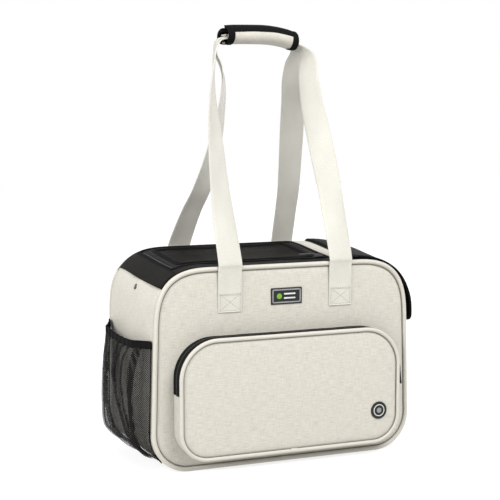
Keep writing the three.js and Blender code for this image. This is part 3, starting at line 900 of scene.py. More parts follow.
def painted_seam_groove_shade(name, x, z, y):
    """A dark cord along the inner side of a piping, in the groove where it is sewn on: its colour is painted
    shade of that groove.
    """
    path = np.stack([x, np.full(len(x), y), z], axis=1)
    return sweep(name, path, ring_section(0.55 * MM, 8), "painted_seam_groove_shade", closed=True)


def piping_join(name, ends, radius, body):
    """The short lapped sleeve where the two ends of a piping cord meet."""
    path = evenly(np.array(ends), 1 * MM)
    sleeve = sweep(name, path, ring_section(radius + 0.35 * MM, 14), "cream_piping")
    # The sleeve stays off the ground on the cord's own base line.
    shift = Vector((0, 0, 0.35 * MM))
    for vertex in sleeve.data.vertices:
        vertex.co += shift
    attach(sleeve, body)


def skin_sheet(name, marks, y_marks, material, inset=1 * MM, hole=None, thick=4.5 * MM,
               rough=0.0, seed=1, lining="lining", grid_step=SKIN_STEP):
    """A stretch of the skin as a sheet, with a hole where the test says so."""
    along = spaced(marks, grid_step)
    across = spaced(y_marks, 6 * MM)
    station, y = np.meshgrid(along, across, indexing="ij")
    sunk = inset(station, y) if callable(inset) else inset
    points = skin_points(station, y, sunk)
    if rough:
        rim = np.minimum(
            smoothstep(y, SKIN_FRONT, SKIN_FRONT + 15 * MM), 1 - smoothstep(y, SKIN_BACK - 15 * MM, SKIN_BACK)
        )
        points = skin_points(station, y, sunk - rough * rim * ripple(points, 0.06, seed))
    faces = grid_faces(*station.shape)
    if hole:
        columns = station.shape[1]
        kept = []
        for face in faces:
            i, j = divmod(face[0], columns)
            if not hole((along[i] + along[i + 1]) / 2, (across[j] + across[j + 1]) / 2):
                kept.append(face)
        faces = kept
    piece = add_mesh(name, points.reshape(-1, 3), faces, material, flat_uvs(points))
    drop_loose(piece)
    face_away(piece)
    thicken(piece, thick, lining)
    return piece


def turn_outwards(piece):
    """Makes a closed mesh's faces agree, looking outwards."""
    work = bmesh.new()
    work.from_mesh(piece.data)
    bmesh.ops.recalc_face_normals(work, faces=work.faces)
    work.to_mesh(piece.data)
    work.free()
    return piece


def drop_loose(piece):
    """Removes the vertices that no face uses."""
    work = bmesh.new()
    work.from_mesh(piece.data)
    bmesh.ops.delete(work, geom=[v for v in work.verts if not v.link_faces], context="VERTS")
    work.to_mesh(piece.data)
    work.free()


def skin_tape(name, station, y, inset, width, thick, material, closed=False):
    """Flat tape or binding laid along a line on the skin."""
    path = skin_points(station, y, inset)
    above = skin_points(station, y, inset - 1 * MM)
    normal = above - path
    normal = unit(normal)
    ahead = np.roll(path, -1, axis=0) - np.roll(path, 1, axis=0) if closed else np.gradient(path, axis=0)
    across = np.cross(ahead, normal)
    across = unit(across)
    return sweep(name, path, ribbon_section(width, thick), material, across=across, closed=closed)


def build_shell():
    face_panel("front_panel_fabric", "front_panel", True)
    face_panel("back_panel_fabric", "back_panel", False)
    carrier_piping("front_piping_cord", "front_piping", True)
    carrier_piping("back_piping_cord", "back_piping", False)
    ys = (SKIN_FRONT, SKIN_BACK)
    for name, marks, node, inset, rough, seed in (
        ("bottom_panel_fabric", (-2, 2), "bottom_panel", 0.3 * MM, 0.0, 1),
        ("right_end_fabric", (2, RIGHT_SEAM), "right_end_panel", 1 * MM, 0.6 * MM, 5),
        ("left_end_fabric", (LEFT_SEAM, 8), "left_end_panel", 1 * MM, 0.6 * MM, 6),
        ("cross_strip_fabric", (STRIP_FROM, STRIP_TO), "cross_strip", 0.2 * MM, 0.0, 7),
    ):
        panel = skin_sheet(
            name, marks, ys, "cream_fabric", inset, rough=rough, seed=seed,
            grid_step=SKIN_STEP if node != "cross_strip" else 0.02,
        )
        attach(panel, "carrier", [node])


# ---- Top hatch ----------------------------------------------------------------------------------

HATCH_LEFT, HATCH_RIGHT, HATCH_HALF = -168 * MM, 84 * MM, 72 * MM
HATCH_BORDER = 18 * MM
HATCH_FOLD_Z = 0.3157
HATCH_LIP = 3.2 * MM
COIL_INSET = 1.2 * MM
NET_TURN_IN = 3.5 * MM
TOP_STATIONS = np.linspace(3.0, 7.0, 4001)
TOP_X = outline(TOP_STATIONS, 1 * MM, 0.5)[0]


def top_station(x):
    """The station at which the top of the skin has this x."""
    return np.interp(-np.asarray(x, float), -TOP_X, TOP_STATIONS)


def rounded_rectangle(near, far, radius, step=4 * MM):
    """Closed plan path with rounded corners, as x, y rows."""
    (x0, y0), (x1, y1) = near, far
    points = []
    for x, y, start in ((x1 - radius, y0 + radius, -90), (x1 - radius, y1 - radius, 0),
                        (x0 + radius, y1 - radius, 90), (x0 + radius, y0 + radius, 180)):
        for angle in np.radians(np.linspace(start, start + 90, 7)):
            points.append((x + radius * math.cos(angle), y + radius * math.sin(angle), 0))
    return evenly(np.array(points), step, closed=True)[:, :2]


def hatch_sag(station, y):
    """How far the hatch's net sinks below the skin."""
    x = np.interp(station, TOP_STATIONS, TOP_X)
    middle_x = (HATCH_LEFT + HATCH_RIGHT) / 2
    reach = np.clip(1 - ((x - middle_x) / 0.11) ** 2, 0, 1) * np.clip(1 - (y / 0.062) ** 2, 0, 1)
    return 1.6 * MM + 3.2 * MM * reach


def build_hatch():
    left, right = top_station(HATCH_LEFT), top_station(HATCH_RIGHT)
    start, stop = STRIP_TO + 0.004, LEFT_SEAM - 0.004
    ys = (SKIN_FRONT, -HATCH_HALF, HATCH_HALF, SKIN_BACK)
    band = skin_sheet(
        "top_band_nylon", (start, right, left, stop), ys, "black_nylon",
        0.3 * MM, hole=lambda s, y: right < s < left and abs(y) < HATCH_HALF, thick=3 * MM,
        rough=0.35 * MM, seed=21,
    )
    attach(band, "carrier", ["top_frame"])

    corner = skin_sheet(
        "corner_net", (left + 0.035, LEFT_SEAM - 0.012), (SKIN_FRONT + 1 * MM, HATCH_HALF + 6 * MM),
        "hatch_net", lambda s, y: -0.5 * MM + 0 * s, thick=0, lining=None,
    )
    declare_sheet(corner)
    attach(corner, "carrier", ["top_frame"])

    edge = rounded_rectangle(
        (HATCH_LEFT - HATCH_LIP, -HATCH_HALF - HATCH_LIP),
        (HATCH_RIGHT + HATCH_LIP, HATCH_HALF + HATCH_LIP), 6 * MM
    )
    tape = skin_tape(
        "hatch_opening_binding", top_station(edge[:, 0]), edge[:, 1], -0.25 * MM, 6 * MM, 1.1 * MM,
        "black_binding", closed=True
    )
    attach(tape, "carrier")

    inner_left, inner_right = HATCH_LEFT + 2.4 * MM, HATCH_RIGHT - 2.4 * MM
    net_left, net_right = top_station(HATCH_LEFT + HATCH_BORDER), top_station(HATCH_RIGHT - HATCH_BORDER)
    net_half = HATCH_HALF - HATCH_BORDER
    outer_half = HATCH_HALF - 2.4 * MM
    border = skin_sheet(
        "hatch_border_nylon",
        (top_station(inner_right), net_right, net_left, top_station(inner_left)),
        (-outer_half, -net_half, net_half, HATCH_HALF + 1.5 * MM),
        "black_nylon",
        1.2 * MM, hole=lambda s, y: net_right < s < net_left and abs(y) < net_half, thick=2 * MM,
        rough=0.3 * MM, seed=23,
        lining="black_nylon",
    )
    bend(
        border, "carrier", "hatch",
        (0, HATCH_HALF + 1 * MM, HATCH_FOLD_Z), (0, HATCH_HALF - 9 * MM, HATCH_FOLD_Z),
        "black_nylon", ["hatch_border"],
    )
    net_sheet = skin_sheet(
        "hatch_net",
        top_station([HATCH_RIGHT - HATCH_BORDER + 4 * MM, HATCH_LEFT + HATCH_BORDER - 4 * MM]),
        (-net_half - 3 * MM, net_half + 3 * MM), "hatch_net",
        lambda s, y: hatch_sag(s, y) + 0.6 * MM, thick=0, grid_step=0.03, lining=None,
    )
    declare_sheet(net_sheet)
    attach(net_sheet, "hatch", ["hatch_mesh"])
    inner = rounded_rectangle(
        (HATCH_LEFT + HATCH_BORDER - NET_TURN_IN, -net_half - NET_TURN_IN),
        (HATCH_RIGHT - HATCH_BORDER + NET_TURN_IN, net_half + NET_TURN_IN), 7 * MM
    )
    trim = skin_tape(
        "hatch_net_binding", top_station(inner[:, 0]), inner[:, 1], 0.8 * MM, 7 * MM, 1.0 * MM,
        "black_binding", closed=True
    )
    attach(trim, "hatch")

    coil_half = HATCH_HALF - COIL_INSET
    coil_right, coil_left = HATCH_RIGHT - COIL_INSET, HATCH_LEFT + COIL_INSET
    coil_end = 58 * MM
    line = np.concatenate([
        np.stack([np.full(30, coil_right), np.linspace(coil_end, -coil_half, 30)], axis=1),
        np.stack([np.linspace(coil_right, coil_left, 60)[1:], np.full(59, -coil_half)], axis=1),
        np.stack([np.full(29, coil_left), np.linspace(-coil_half, coil_end, 30)[1:]], axis=1),
    ])
    teeth = coil_mesh("hatch_zip_teeth", skin_points(top_station(line[:, 0]), line[:, 1], 1.0 * MM), Z_AXIS)
    attach(teeth, "hatch", ["hatch_zip_coil"])

    centre = middle_of("hatch_slider")
    zip_slider("hatch_slider_body", centre, -X_AXIS, Z_AXIS, "hatch_slider", "hatch_slider")
    pull_box = low("hatch_pull"), high("hatch_pull")
    zip_pull(
        "hatch_pull_tab", np.array([pull_box[1][0], centre[1], (pull_box[0][2] + pull_box[1][2]) / 2]),
        -X_AXIS, Z_AXIS, pull_box[1][0] - pull_box[0][0], "hatch_pull", "hatch_pull",
    )


def coil_mesh(name, line, up, pitch=1.5 * MM, half=1.5 * MM, radius=0.55 * MM, material="zip_coil"):
    """Interlocked zip coil: an arched tooth across the line at every pitch."""
    line = evenly(line, pitch)
    tangents = np.gradient(line, axis=0)
    tangents = unit(tangents)
    across = np.cross(tangents, up)
    across = unit(across)
    lift = np.cross(across, tangents)
    vertices, faces = [], []
    sides, arch = 6, [
        (-1.0, -0.4, 0.5), (-0.85, 0.2, 1.0), (0.0, 0.75, 1.0), (0.85, 0.2, 1.0), (1.0, -0.4, 0.5)
    ]
    for k, (centre, tangent, side, normal) in enumerate(zip(line, tangents, across, lift)):
        begin = len(vertices)
        lean = 0.25 * MM * (1 if k % 2 else -1)
        for out, rise, size in arch:
            middle = centre + side * (out * half) + normal * (rise * radius) + tangent * (lean * out)
            for n in range(sides):
                angle = 2 * math.pi * n / sides
                vertices.append(
                    middle + (tangent * math.cos(angle) + normal * math.sin(angle)) * radius * size
                )
        faces += grid_faces(len(arch), sides, wrap_columns=True, start=begin)
        faces.append(tuple(begin + n for n in range(sides))[::-1])
        faces.append(tuple(begin + (len(arch) - 1) * sides + n for n in range(sides)))
    return close_up(add_mesh(name, vertices, faces, material))


def plate_mesh(name, ring_at, profile, origin, u, v, material, w=None):
    """A closed plate: rings (inset, height) stacked along the normal of the plane of u and v."""
    u, v = np.asarray(u, float), np.asarray(v, float)
    w = np.cross(u, v) if w is None else np.asarray(w, float)
    rings = []
    for inset, height in profile:
        ring = ring_at(inset)
        rings.append(np.asarray(origin) + ring[:, :1] * u + ring[:, 1:2] * v + height * w)
    rings = np.stack(rings)
    count = rings.shape[1]
    vertices = list(rings.reshape(-1, 3)) + [rings[0].mean(axis=0), rings[-1].mean(axis=0)]
    faces = grid_faces(len(profile), count, wrap_columns=True)
    last = (len(profile) - 1) * count
    for j in range(count):
        faces.append((len(vertices) - 2, j, (j + 1) % count))
        faces.append((last + j, len(vertices) - 1, last + (j + 1) % count))
    flat = (np.array(vertices) - origin) @ np.stack([u, v], axis=1)
    piece = add_mesh(name, vertices, faces, material, flat)
    return turn_outwards(piece)


def round_rect(half_x, half_y, radius, count=9):
    def ring_at(inset):
        r = max(radius - inset, 0.15 * MM)
        points = []
        x0, x1 = r + inset - half_x, half_x - inset - r
        y0, y1 = r + inset - half_y, half_y - inset - r
        for x, y, start in ((x1, y0, -90), (x1, y1, 0), (x0, y1, 90), (x0, y0, 180)):
            for angle in np.radians(np.linspace(start, start + 90, count)):
                points.append((x + r * math.cos(angle), y + r * math.sin(angle)))
        return np.array(points)
    return ring_at


def circle(radius, count=40):
    angles = np.linspace(0, 2 * math.pi, count, endpoint=False)
    return lambda inset: np.stack(
        [(radius - inset) * np.cos(angles), (radius - inset) * np.sin(angles)], axis=1
    )


def rounded_profile(low_height, high_height, edge):
    """Profile of a plate with rounded rims."""
    turns = np.radians(np.linspace(0, 90, 5))
    start = [(edge * (1 - math.sin(a)), low_height + edge * (1 - math.cos(a))) for a in turns]
    end = [(edge * (1 - math.cos(a)), high_height - edge * (1 - math.sin(a))) for a in turns]
    return start + end


def zip_slider(name, centre, along, up, body, node):
    """Slider body: a waisted, wedge-shaped plate above and below the coil, with an arched bridge."""
    side = np.cross(up, along)
    def wedge(inset):
        ring = round_rect(6.6 * MM, 3.7 * MM, 2.4 * MM)(inset)
        waist = 1 - 0.22 * smoothstep(ring[:, 0], -6.6 * MM, 0) * (1 - smoothstep(ring[:, 0], 0, 6.6 * MM))
        return ring * np.stack([np.ones(len(ring)), waist], axis=1)
    for part, heights, edge, nodes in (
        (name, (0.2 * MM, 1.8 * MM), 0.7 * MM, [node]), (
            name + "_under", (-1.9 * MM, -0.6 * MM), 0.5 * MM, ()
        ),
    ):
        plate = plate_mesh(
            part, wedge, rounded_profile(*heights, edge), centre, along, side, "zip_metal", w=up
        )
        attach(plate, body, nodes)
    arch = np.array([(-3.6, 1.2), (-3.4, 2.6), (-1.8, 3.3), (0.6, 3.4), (2.6, 2.8), (3.4, 1.2)]) * MM
    path = smooth_path(np.stack([centre + along * a + up * b for a, b in arch]), 5)
    bridge = sweep(name + "_bridge", path, ribbon_section(2.4 * MM, 0.9 * MM), "zip_metal", across=side)
    attach(bridge, body)


def zip_pull(name, start, along, up, length, body, node):
    """Pull tab: a ring end for the bridge and a dished tab."""
    side = np.cross(up, along)
    ring = rounded_rectangle((0.3 * MM, -3.1 * MM), (length * 0.36, 3.1 * MM), 2.6 * MM, 0.9 * MM)
    path = start + ring[:, :1] * along + ring[:, 1:2] * side
    loop = sweep(name + "_loop", path, ring_section(0.75 * MM, 10), "zip_metal", closed=True, across=up)
    attach(loop, body)
    middle = start + along * (length * 0.66)
    tab = plate_mesh(
        name, round_rect(length * 0.34, 3.4 * MM, 2.8 * MM),
        [(1.6 * MM, -0.3 * MM), (0.5 * MM, -0.75 * MM), (0, -0.3 * MM), (0, 0.3 * MM), (0.5 * MM, 0.75 * MM),
         (1.1 * MM, 0.75 * MM), (1.6 * MM, 0.3 * MM)],
        middle, along, side, "zip_metal", w=up,
    )
    attach(tab, body, [node])


def declare_sheet(piece):
    """Reads a sheet's UVs into an array, and does nothing more with them."""
    mesh = piece.data
    uv = np.zeros(len(mesh.loops) * 2, np.float32)
    mesh.uv_layers[0].data.foreach_get("uv", uv)


# ---- Head opening -------------------------------------------------------------------------------

HEAD_HALF = 60 * MM
HEAD_LEFT = 134 * MM
HEAD_SILL = 240 * MM
FLAP_FROM, FLAP_TO, FLAP_HALF = 2.935, 3.985, 90 * MM
FLAP_SNAP_AXIS = np.array([1.0, 0, 0.02])
SMALL_SNAP = 4.4 * MM
FLAP_LIFT, FLAP_HANG, FLAP_FLARE = -1.2 * MM, 12 * MM, 21 * MM


def station_at_height(z, fine=np.linspace(2.0, 4.0, 3001)):
    heights = outline(fine, 1 * MM, 0.5)[1]
    return float(np.interp(z, heights, fine))


def flap_lift(station, across):
    """How far the flap stands off the end: most at the corners of its loose edge, least at its fold."""
    loose = 1 - (station - FLAP_FROM) / (FLAP_TO - FLAP_FROM)
    hang = FLAP_HANG + (FLAP_FLARE - FLAP_HANG) * across ** 2
    return FLAP_LIFT + (hang - FLAP_LIFT) * np.maximum(loose, 0) ** 3.2


def flap_points(along, across, extra=0.0):
    """Flap surface: along is a station, and across runs from -1 to 1 over its width."""
    radius = 30 * MM
    from_end = (along - FLAP_FROM) * 149 * MM
    dip = np.clip(1 - from_end / radius, 0, 1)
    half = FLAP_HALF - radius * (1 - np.sqrt(1 - dip ** 2))
    y = across * half
    lift = flap_lift(along, across) + extra + 0.6 * MM * np.sin(along * 9) * np.cos(y * 40)
    return skin_points(along, y, -lift)


def build_head():
    sill, left = station_at_height(HEAD_SILL), float(top_station(HEAD_LEFT))
    start, stop = RIGHT_SEAM + 0.004, STRIP_FROM - 0.004
    frame_sheet = skin_sheet(
        "head_frame_nylon", (start, sill, left, stop), (SKIN_FRONT, -HEAD_HALF, HEAD_HALF, SKIN_BACK),
        "black_nylon", 0.6 * MM,
        hole=lambda s, y: sill < s < left and abs(y) < HEAD_HALF, rough=0.4 * MM, seed=31, thick=4 * MM,
    )
    attach(frame_sheet, "carrier", ["head_frame"])
    corner = 9 * MM
    edge = rounded_rectangle(
        (sill * END_STATION * MM, -HEAD_HALF), (left * END_STATION * MM, HEAD_HALF), corner, 5 * MM
    )
    binding = skin_tape(
        "head_opening_binding", edge[:, 0] / (END_STATION * MM), edge[:, 1], 0.4 * MM, 7 * MM,
        1.2 * MM, "black_binding", closed=True
    )
    attach(binding, "carrier")

    along = np.concatenate([FLAP_FROM + np.array([0.0, 0.003, 0.009, 0.02, 0.035, 0.055, 0.08, 0.11]),
                            np.linspace(FLAP_FROM + 0.145, FLAP_TO, 22)])
    across = np.linspace(-1, 1, 25)
    s, a = np.meshgrid(along, across, indexing="ij")
    flap = sheet_mesh("head_flap_nylon", flap_points(s, a, 3.6 * MM), "black_nylon")
    face_away(flap)
    thicken(flap, 3.2 * MM, "black_nylon")
    hinge_start, hinge_end = (0.1218, 0, 0.3169), (0.138, 0, 0.3169)
    bend(flap, "carrier", "head_flap", hinge_start, hinge_end, "black_nylon", ["head_flap"])

    fold_end = [FLAP_TO - 0.03]
    rim_s = np.concatenate([fold_end, along[::-1][2:], np.full(9, FLAP_FROM), along[:-2], fold_end])
    one_side = np.ones(len(along) - 1)
    rim_a = np.concatenate([-one_side, np.linspace(-0.98, 0.98, 9), one_side])
    rim = flap_points(rim_s, rim_a, 2.0 * MM)
    rim = evenly(rim, 4 * MM)
    tangents = np.gradient(rim, axis=0)
    out = rim - np.array([0.06, 0, 0.2])
    above = np.stack([out[:, 0], np.zeros(len(rim)), out[:, 2]], axis=1)
    across_rim = np.cross(tangents, above)
    binding = sweep(
        "head_flap_binding", rim, rim_section(7 * MM, 5.2 * MM), "black_binding", across=across_rim
    )
    bend(binding, "carrier", "head_flap", hinge_start, hinge_end, "black_binding")

    snap("flap_snap_dome", middle_of("flap_snap_cap"), FLAP_SNAP_AXIS, 6 * MM, "head_flap", "flap_snap_cap")
    snap(
        "flap_snap_post", middle_of("flap_snap_stud"), FLAP_SNAP_AXIS, SMALL_SNAP, "carrier",
        "flap_snap_stud", tall=2.2
    )
    snap(
        "left_snap_cap", middle_of("left_snap") + np.array([-1.6, 0, -8]) * MM,
        np.array([-0.94, 0, 0.34]), SMALL_SNAP, "carrier", "left_snap", ring=True
    )


def rim_section(width, tall):
    """A soft oval wrap for a bound edge."""
    angles = np.linspace(0, 2 * math.pi, 16, endpoint=False)
    cos, sin = np.cos(angles), np.sin(angles)
    return np.stack(
        [np.sign(cos) * np.abs(cos) ** 0.6 * width / 2, np.sign(sin) * np.abs(sin) ** 0.8 * tall / 2],
        axis=1
    )


def snap(name, centre, axis, radius, body, node, ring=False, tall=1.0):
    """A press snap: domed cap with a rolled rim, or an open ring with a sunk middle."""
    axis = axis / np.linalg.norm(axis)
    u = np.cross(axis, [0, 1.0, 0])
    u /= np.linalg.norm(u)
    v = np.cross(axis, u)
    h = 0.8 * MM * tall
    if ring:
        profile = [
            (radius * 0.4, -h), (0.4 * MM, -h), (0, -0.4 * h), (0.1 * MM, 0.5 * h), (0.6 * MM, h),
            (1.2 * MM, 0.9 * h), (1.6 * MM, 0.3 * h), (2.0 * MM, -0.3 * h), (radius * 0.8, -0.3 * h),
        ]
    else:
        profile = [
            (radius * 0.4, -h), (0.3 * MM, -h), (0, -0.5 * h), (0, 0), (0.35 * MM, 0.5 * h),
            (0.9 * MM, 0.45 * h), (1.4 * MM, 0.75 * h), (radius * 0.6, h), (radius * 0.9, 1.08 * h),
        ]
    material = "snap_dark" if ring else "snap_metal"
    attach(
        plate_mesh(name, circle(radius, 32), profile, centre, u, v, material, w=axis), body,
        [node]
    )


# ---- Mesh end pockets ---------------------------------------------------------------------------

NET_HALF = 98.5 * MM
NET_FROM, NET_TO = 1.47, 2.93
HEM_WIDE = 11 * MM
HEM_DIP = 6
NET_ROWS, NET_COLUMNS, TURNED_UP = 44, 150, 0.13


def pocket_stand(u, v, stand=15 * MM):
    """How far an end pocket stands off the end panel."""
    across = np.minimum(1, 1.6 * (1 - (2 * v - 1) ** 2)) ** (1 + u)
    return 0.7 * MM + stand * across * np.minimum(1, 3.5 * u + 0.05)


def gathered(u, s, seed):
    """How far the net ripples outward where it is gathered, from the sewn base (u 0) to the hem (u 1)."""
    draw = np.random.default_rng(seed)
    wave = 0
    for _ in range(7):
        count, lean, phase = draw.uniform(4, 13), draw.uniform(-1.6, 1.6), draw.uniform(0, 6.3)
        wave = wave + draw.uniform(0.2, 0.6) * MM * np.sin(2 * math.pi * (count * s + lean * (1 - u)) + phase)
    return wave * (0.35 + 0.65 * smoothstep(u, 0.2, 1.0))


def pleat(places, wide, start, rows):
    """A fold of the net laid back over itself: its places across, from where it starts up to the hem."""
    u = np.linspace(start, 1, rows)[:, None]
    curve = np.polyfit(np.linspace(start, 1, len(places)), places, 3)
    middle = np.polyval(curve, u)
    half = wide * (0.65 + 0.35 * u) * (1 + 0.2 * np.sin(7 * u + 9 * places[-1])) / 2
    across = np.array([[-1.0, -0.55, 0.0, 0.55, 1.0, 1.04, 1.0, 0.55, 0.0, -0.55, -0.9]])
    height = np.array([[0.2, 0.9, 1.1, 1.1, 1.3, 1.8, 2.4, 2.6, 2.8, 2.7, 2.2]]) * MM
    flat = smoothstep(u, start, start + 0.09)
    return u + 0 * across, middle + half * across, 0.3 * MM + height * (0.25 + 0.75 * flat)


def build_end_pocket(end, mirror, seed, pleats):
    vertices, faces, flat = [], [], []

    def add_layer(u, s, height, count):
        """Adds one grid of net, at shares u up and s across, standing this far off the pocket's own shape."""
        dip = HEM_DIP * (1 - (2 * s - 1) ** 2) / END_STATION
        hem_from = NET_TO - dip - HEM_WIDE / MM / END_STATION
        station = NET_FROM + (hem_from + 0.02 - NET_FROM) * u
        rim = smoothstep(s, 0, 0.06) * (1 - smoothstep(s, 0.94, 1.0)) * smoothstep(u, 0, 0.08)
        belly = 6 * MM * np.sin(math.pi * u) * np.minimum(1, 1.6 * (1 - (2 * s - 1) ** 2))
        stand = np.maximum(pocket_stand(u, s) + belly + gathered(u, s, seed) * rim, 0.6 * MM) + height
        points = skin_points(10 - station if mirror else station, (2 * s - 1) * NET_HALF, -stand)
        start = sum(len(v) for v in vertices)
        vertices.append(points.reshape(-1, 3))
        faces.extend(grid_faces(*s.shape, start=start, flip=count > 0))
        flat.append(flat_uvs(points))

    u, s = np.meshgrid(np.linspace(0, 1, NET_ROWS), np.linspace(0, 1, NET_COLUMNS), indexing="ij")
    add_layer(u, s, 0.0, 0)
    # The net is turned up twice inside along its base.
    turned_u, turned_s = np.meshgrid(
        np.linspace(0, TURNED_UP, 10), np.linspace(0, 1, NET_COLUMNS), indexing="ij"
    )
    for inside in (0.5 * MM, 1.0 * MM):
        add_layer(turned_u, turned_s, -inside * smoothstep(turned_u, 0, 0.03), 0)
    for number, fold in enumerate(pleats):
        u, s, height = pleat(*fold, NET_ROWS)
        add_layer(u, s, height + 0.3 * MM * number, number + 1)
    net_sheet = add_mesh(
        f"{end}_pocket_net", np.concatenate(vertices), faces, "dark_mesh", np.concatenate(flat)
    )
    hem_v = np.linspace(0, 1, 80)
    hem_dip = HEM_DIP * (1 - (2 * hem_v - 1) ** 2) / END_STATION
    wave = 0.7 * MM * np.sin(hem_v * 71 + seed) * smoothstep(hem_v, 0, 0.1) * (1 - smoothstep(hem_v, 0.9, 1))
    hem_station = NET_TO - hem_dip - HEM_WIDE / MM / END_STATION / 2
    hem_place = 10 - hem_station if mirror else hem_station
    band_stand = pocket_stand(np.ones(80), hem_v) + 0.9 * MM + wave
    path = skin_points(hem_place, (2 * hem_v - 1) * NET_HALF, -band_stand)
    path = evenly(path, 2.5 * MM)
    hem = sweep(
        f"{end}_pocket_elastic", path, ribbon_section(HEM_WIDE + 1 * MM, 2.2 * MM), "black_binding",
        across=Z_AXIS
    )
    attach(hem, "carrier", [f"{end}_pocket_hem"])
    declare_sheet(net_sheet)
    attach(net_sheet, "carrier", [f"{end}_pocket_mesh"])
    # Bound seams up both sides of the net.
    for edge_name, edge_y in (("front", -NET_HALF + 1 * MM), ("back", NET_HALF - 1 * MM)):
        seam = stations(NET_FROM, NET_TO - 0.02, 4 * MM)
        seam = 10 - seam if mirror else seam
        tape = skin_tape(
            f"{end}_pocket_{edge_name}_seam", seam, np.full(len(seam), edge_y), -1.2 * MM, 3 * MM,
            1.2 * MM, "black_binding"
        )
        attach(tape, "carrier")


# ---- Front pocket -------------------------------------------------------------------------------

POCKET_FOLD_Y = -0.1385
FOLD_START = (0, POCKET_FOLD_Y, POCKET_SPLIT - 8 * MM)
FOLD_END = (0, POCKET_FOLD_Y, POCKET_SPLIT + 8 * MM)


def pocket_line(inset, low_z, high_z, y):
    """The pocket's outline between two heights, as a path at this y, from one side round to the other."""
    ring = pocket_outline(inset, 3 * MM)
    upper = low_z > POCKET_BASE + 1 * MM
    keep = (ring[:, 1] >= low_z) & (ring[:, 1] <= high_z)
    start = np.flatnonzero(keep & ~np.roll(keep, 1))
    order = np.roll(np.arange(len(ring)), -start[0]) if len(start) else np.arange(len(ring))
    line = ring[[k for k in order if keep[k]]]
    end_z = low_z if upper else high_z
    line[0, 1] = line[-1, 1] = end_z
    return np.stack([line[:, 0], np.full(len(line), y), line[:, 1]], axis=1)


def wall_band(name, line, y_front, y_back, material, thick, pucker=0.0, seed=1, rows=8):
    """A wall of fabric standing on a line, from y_front to y_back."""
    rows_y = np.linspace(y_front, y_back, rows)
    points = np.repeat(line[None], rows, axis=0)
    points[:, :, 1] = rows_y[:, None]
    middle = np.array([0, POCKET_MIDDLE])
    inward = middle - points[..., [0, 2]] * np.array([1, 1])
    inward /= np.linalg.norm(inward, axis=-1)[..., None]
    rim = np.sin(np.linspace(0, math.pi, rows))[:, None]
    shift = (pucker * rim * (1 + 0.6 * ripple(points, 0.05, seed)))[..., None]
    points[..., [0, 2]] += inward * shift
    piece = sheet_mesh(name, points, material)
    face_away(piece, POCKET_INSIDE)
    thicken(piece, thick)
    return piece


def build_front_pocket():
    count = len(pocket_outline(5.2 * MM))

    def even_ring(inset):
        """The pocket outline with the same number of points at every inset."""
        path = pocket_outline(5.2 * MM + inset, 1 * MM)
        path = np.concatenate([path, path[:1]])
        lengths = lengths_along(path)
        at = np.linspace(0, lengths[-1], count, endpoint=False)
        return resample(at, lengths, path)

    face = ringed_panel(
        "pocket_face_fabric", even_ring, np.array([0, (POCKET_BASE + POCKET_TOP) / 2]), pocket_y,
        -1, 2.2 * MM, "cream_fabric", 3 * MM, "lining",
    )
    bend(
        face, "carrier", "pocket_flap", FOLD_START, FOLD_END, "cream_fabric",
        ["pocket_lower_face", "pocket_upper_face"]
    )
    ring = pocket_outline(3 * MM, 4 * MM)
    y = POCKET_FRONT + 3 * MM
    path = np.stack([ring[:, 0], np.full(len(ring), y), ring[:, 1]], axis=1)
    cord = sweep("pocket_piping_cord", path, ring_section(3 * MM, 14), "cream_piping", closed=True)
    bend(
        cord, "carrier", "pocket_flap", FOLD_START, FOLD_END, "cream_piping",
        ["pocket_lower_piping", "pocket_upper_piping"]
    )
    # A dark cord inside the pocket's piping: painted shade of the seam groove.
    ring = pocket_outline(6.3 * MM, 4 * MM)
    seam = painted_seam_groove_shade("pocket_piping_seam", ring[:, 0], ring[:, 1], POCKET_FRONT + 2.2 * MM)
    bend(seam, "carrier", "pocket_flap", FOLD_START, FOLD_END, "cream_fabric")
    base = POCKET_BASE + 3 * MM
    piping_join("pocket_piping_join", [(-5 * MM, y, base), (6 * MM, y, base)], 3 * MM, "carrier")

    panel_back = -105.2 * MM
    gusset = wall_band(
        "pocket_gusset_fabric", pocket_line(1.6 * MM, 0, POCKET_SPLIT, 0), POCKET_FRONT + 5 * MM, panel_back,
        "cream_fabric", 2.4 * MM, 1.4 * MM, 41,
    )
    attach(gusset, "carrier", ["pocket_gusset"])
    line = pocket_line(1.2 * MM, POCKET_SPLIT + 0.5 * MM, 1, 0)
    coil_y = (low("pocket_zip_coil")[1] + high("pocket_zip_coil")[1]) / 2
    rear = wall_band(
        "pocket_rear_tape", line, coil_y + 1.2 * MM, panel_back, "zip_tape", 1.4 * MM, 0.8 * MM, 42
    )
    attach(rear, "carrier", ["pocket_zip_tape"])
    front = wall_band(
        "pocket_front_tape", line, POCKET_FRONT + 5 * MM, coil_y - 1.2 * MM, "zip_tape", 1.4 * MM,
        0.4 * MM, 43, 6
    )
    attach(front, "pocket_flap", ["pocket_flap_tape"])
    out = line.copy()
    out[:, 1] = coil_y
    middle = np.array([0, 0, POCKET_MIDDLE])
    ups = out - middle
    ups[:, 1] = 0
    teeth = coil_mesh_along("pocket_zip_teeth", out, ups)
    attach(teeth, "carrier", ["pocket_zip_coil"])

    centre = middle_of("pocket_slider") + np.array([0.5 * MM, 0, 0])
    zip_slider("pocket_slider_body", centre, -Z_AXIS, X_AXIS, "pocket_slider", "pocket_slider")
    pull = low("pocket_pull"), high("pocket_pull")
    hang = np.array([0.12, 0, -0.9928])
    zip_pull(
        "pocket_pull_tab", np.array([(pull[0][0] + pull[1][0]) / 2, centre[1], pull[1][2]]),
        hang, np.array([0.9928, 0, 0.12]), pull[1][2] - pull[0][2], "pocket_pull", "pocket_pull",
    )


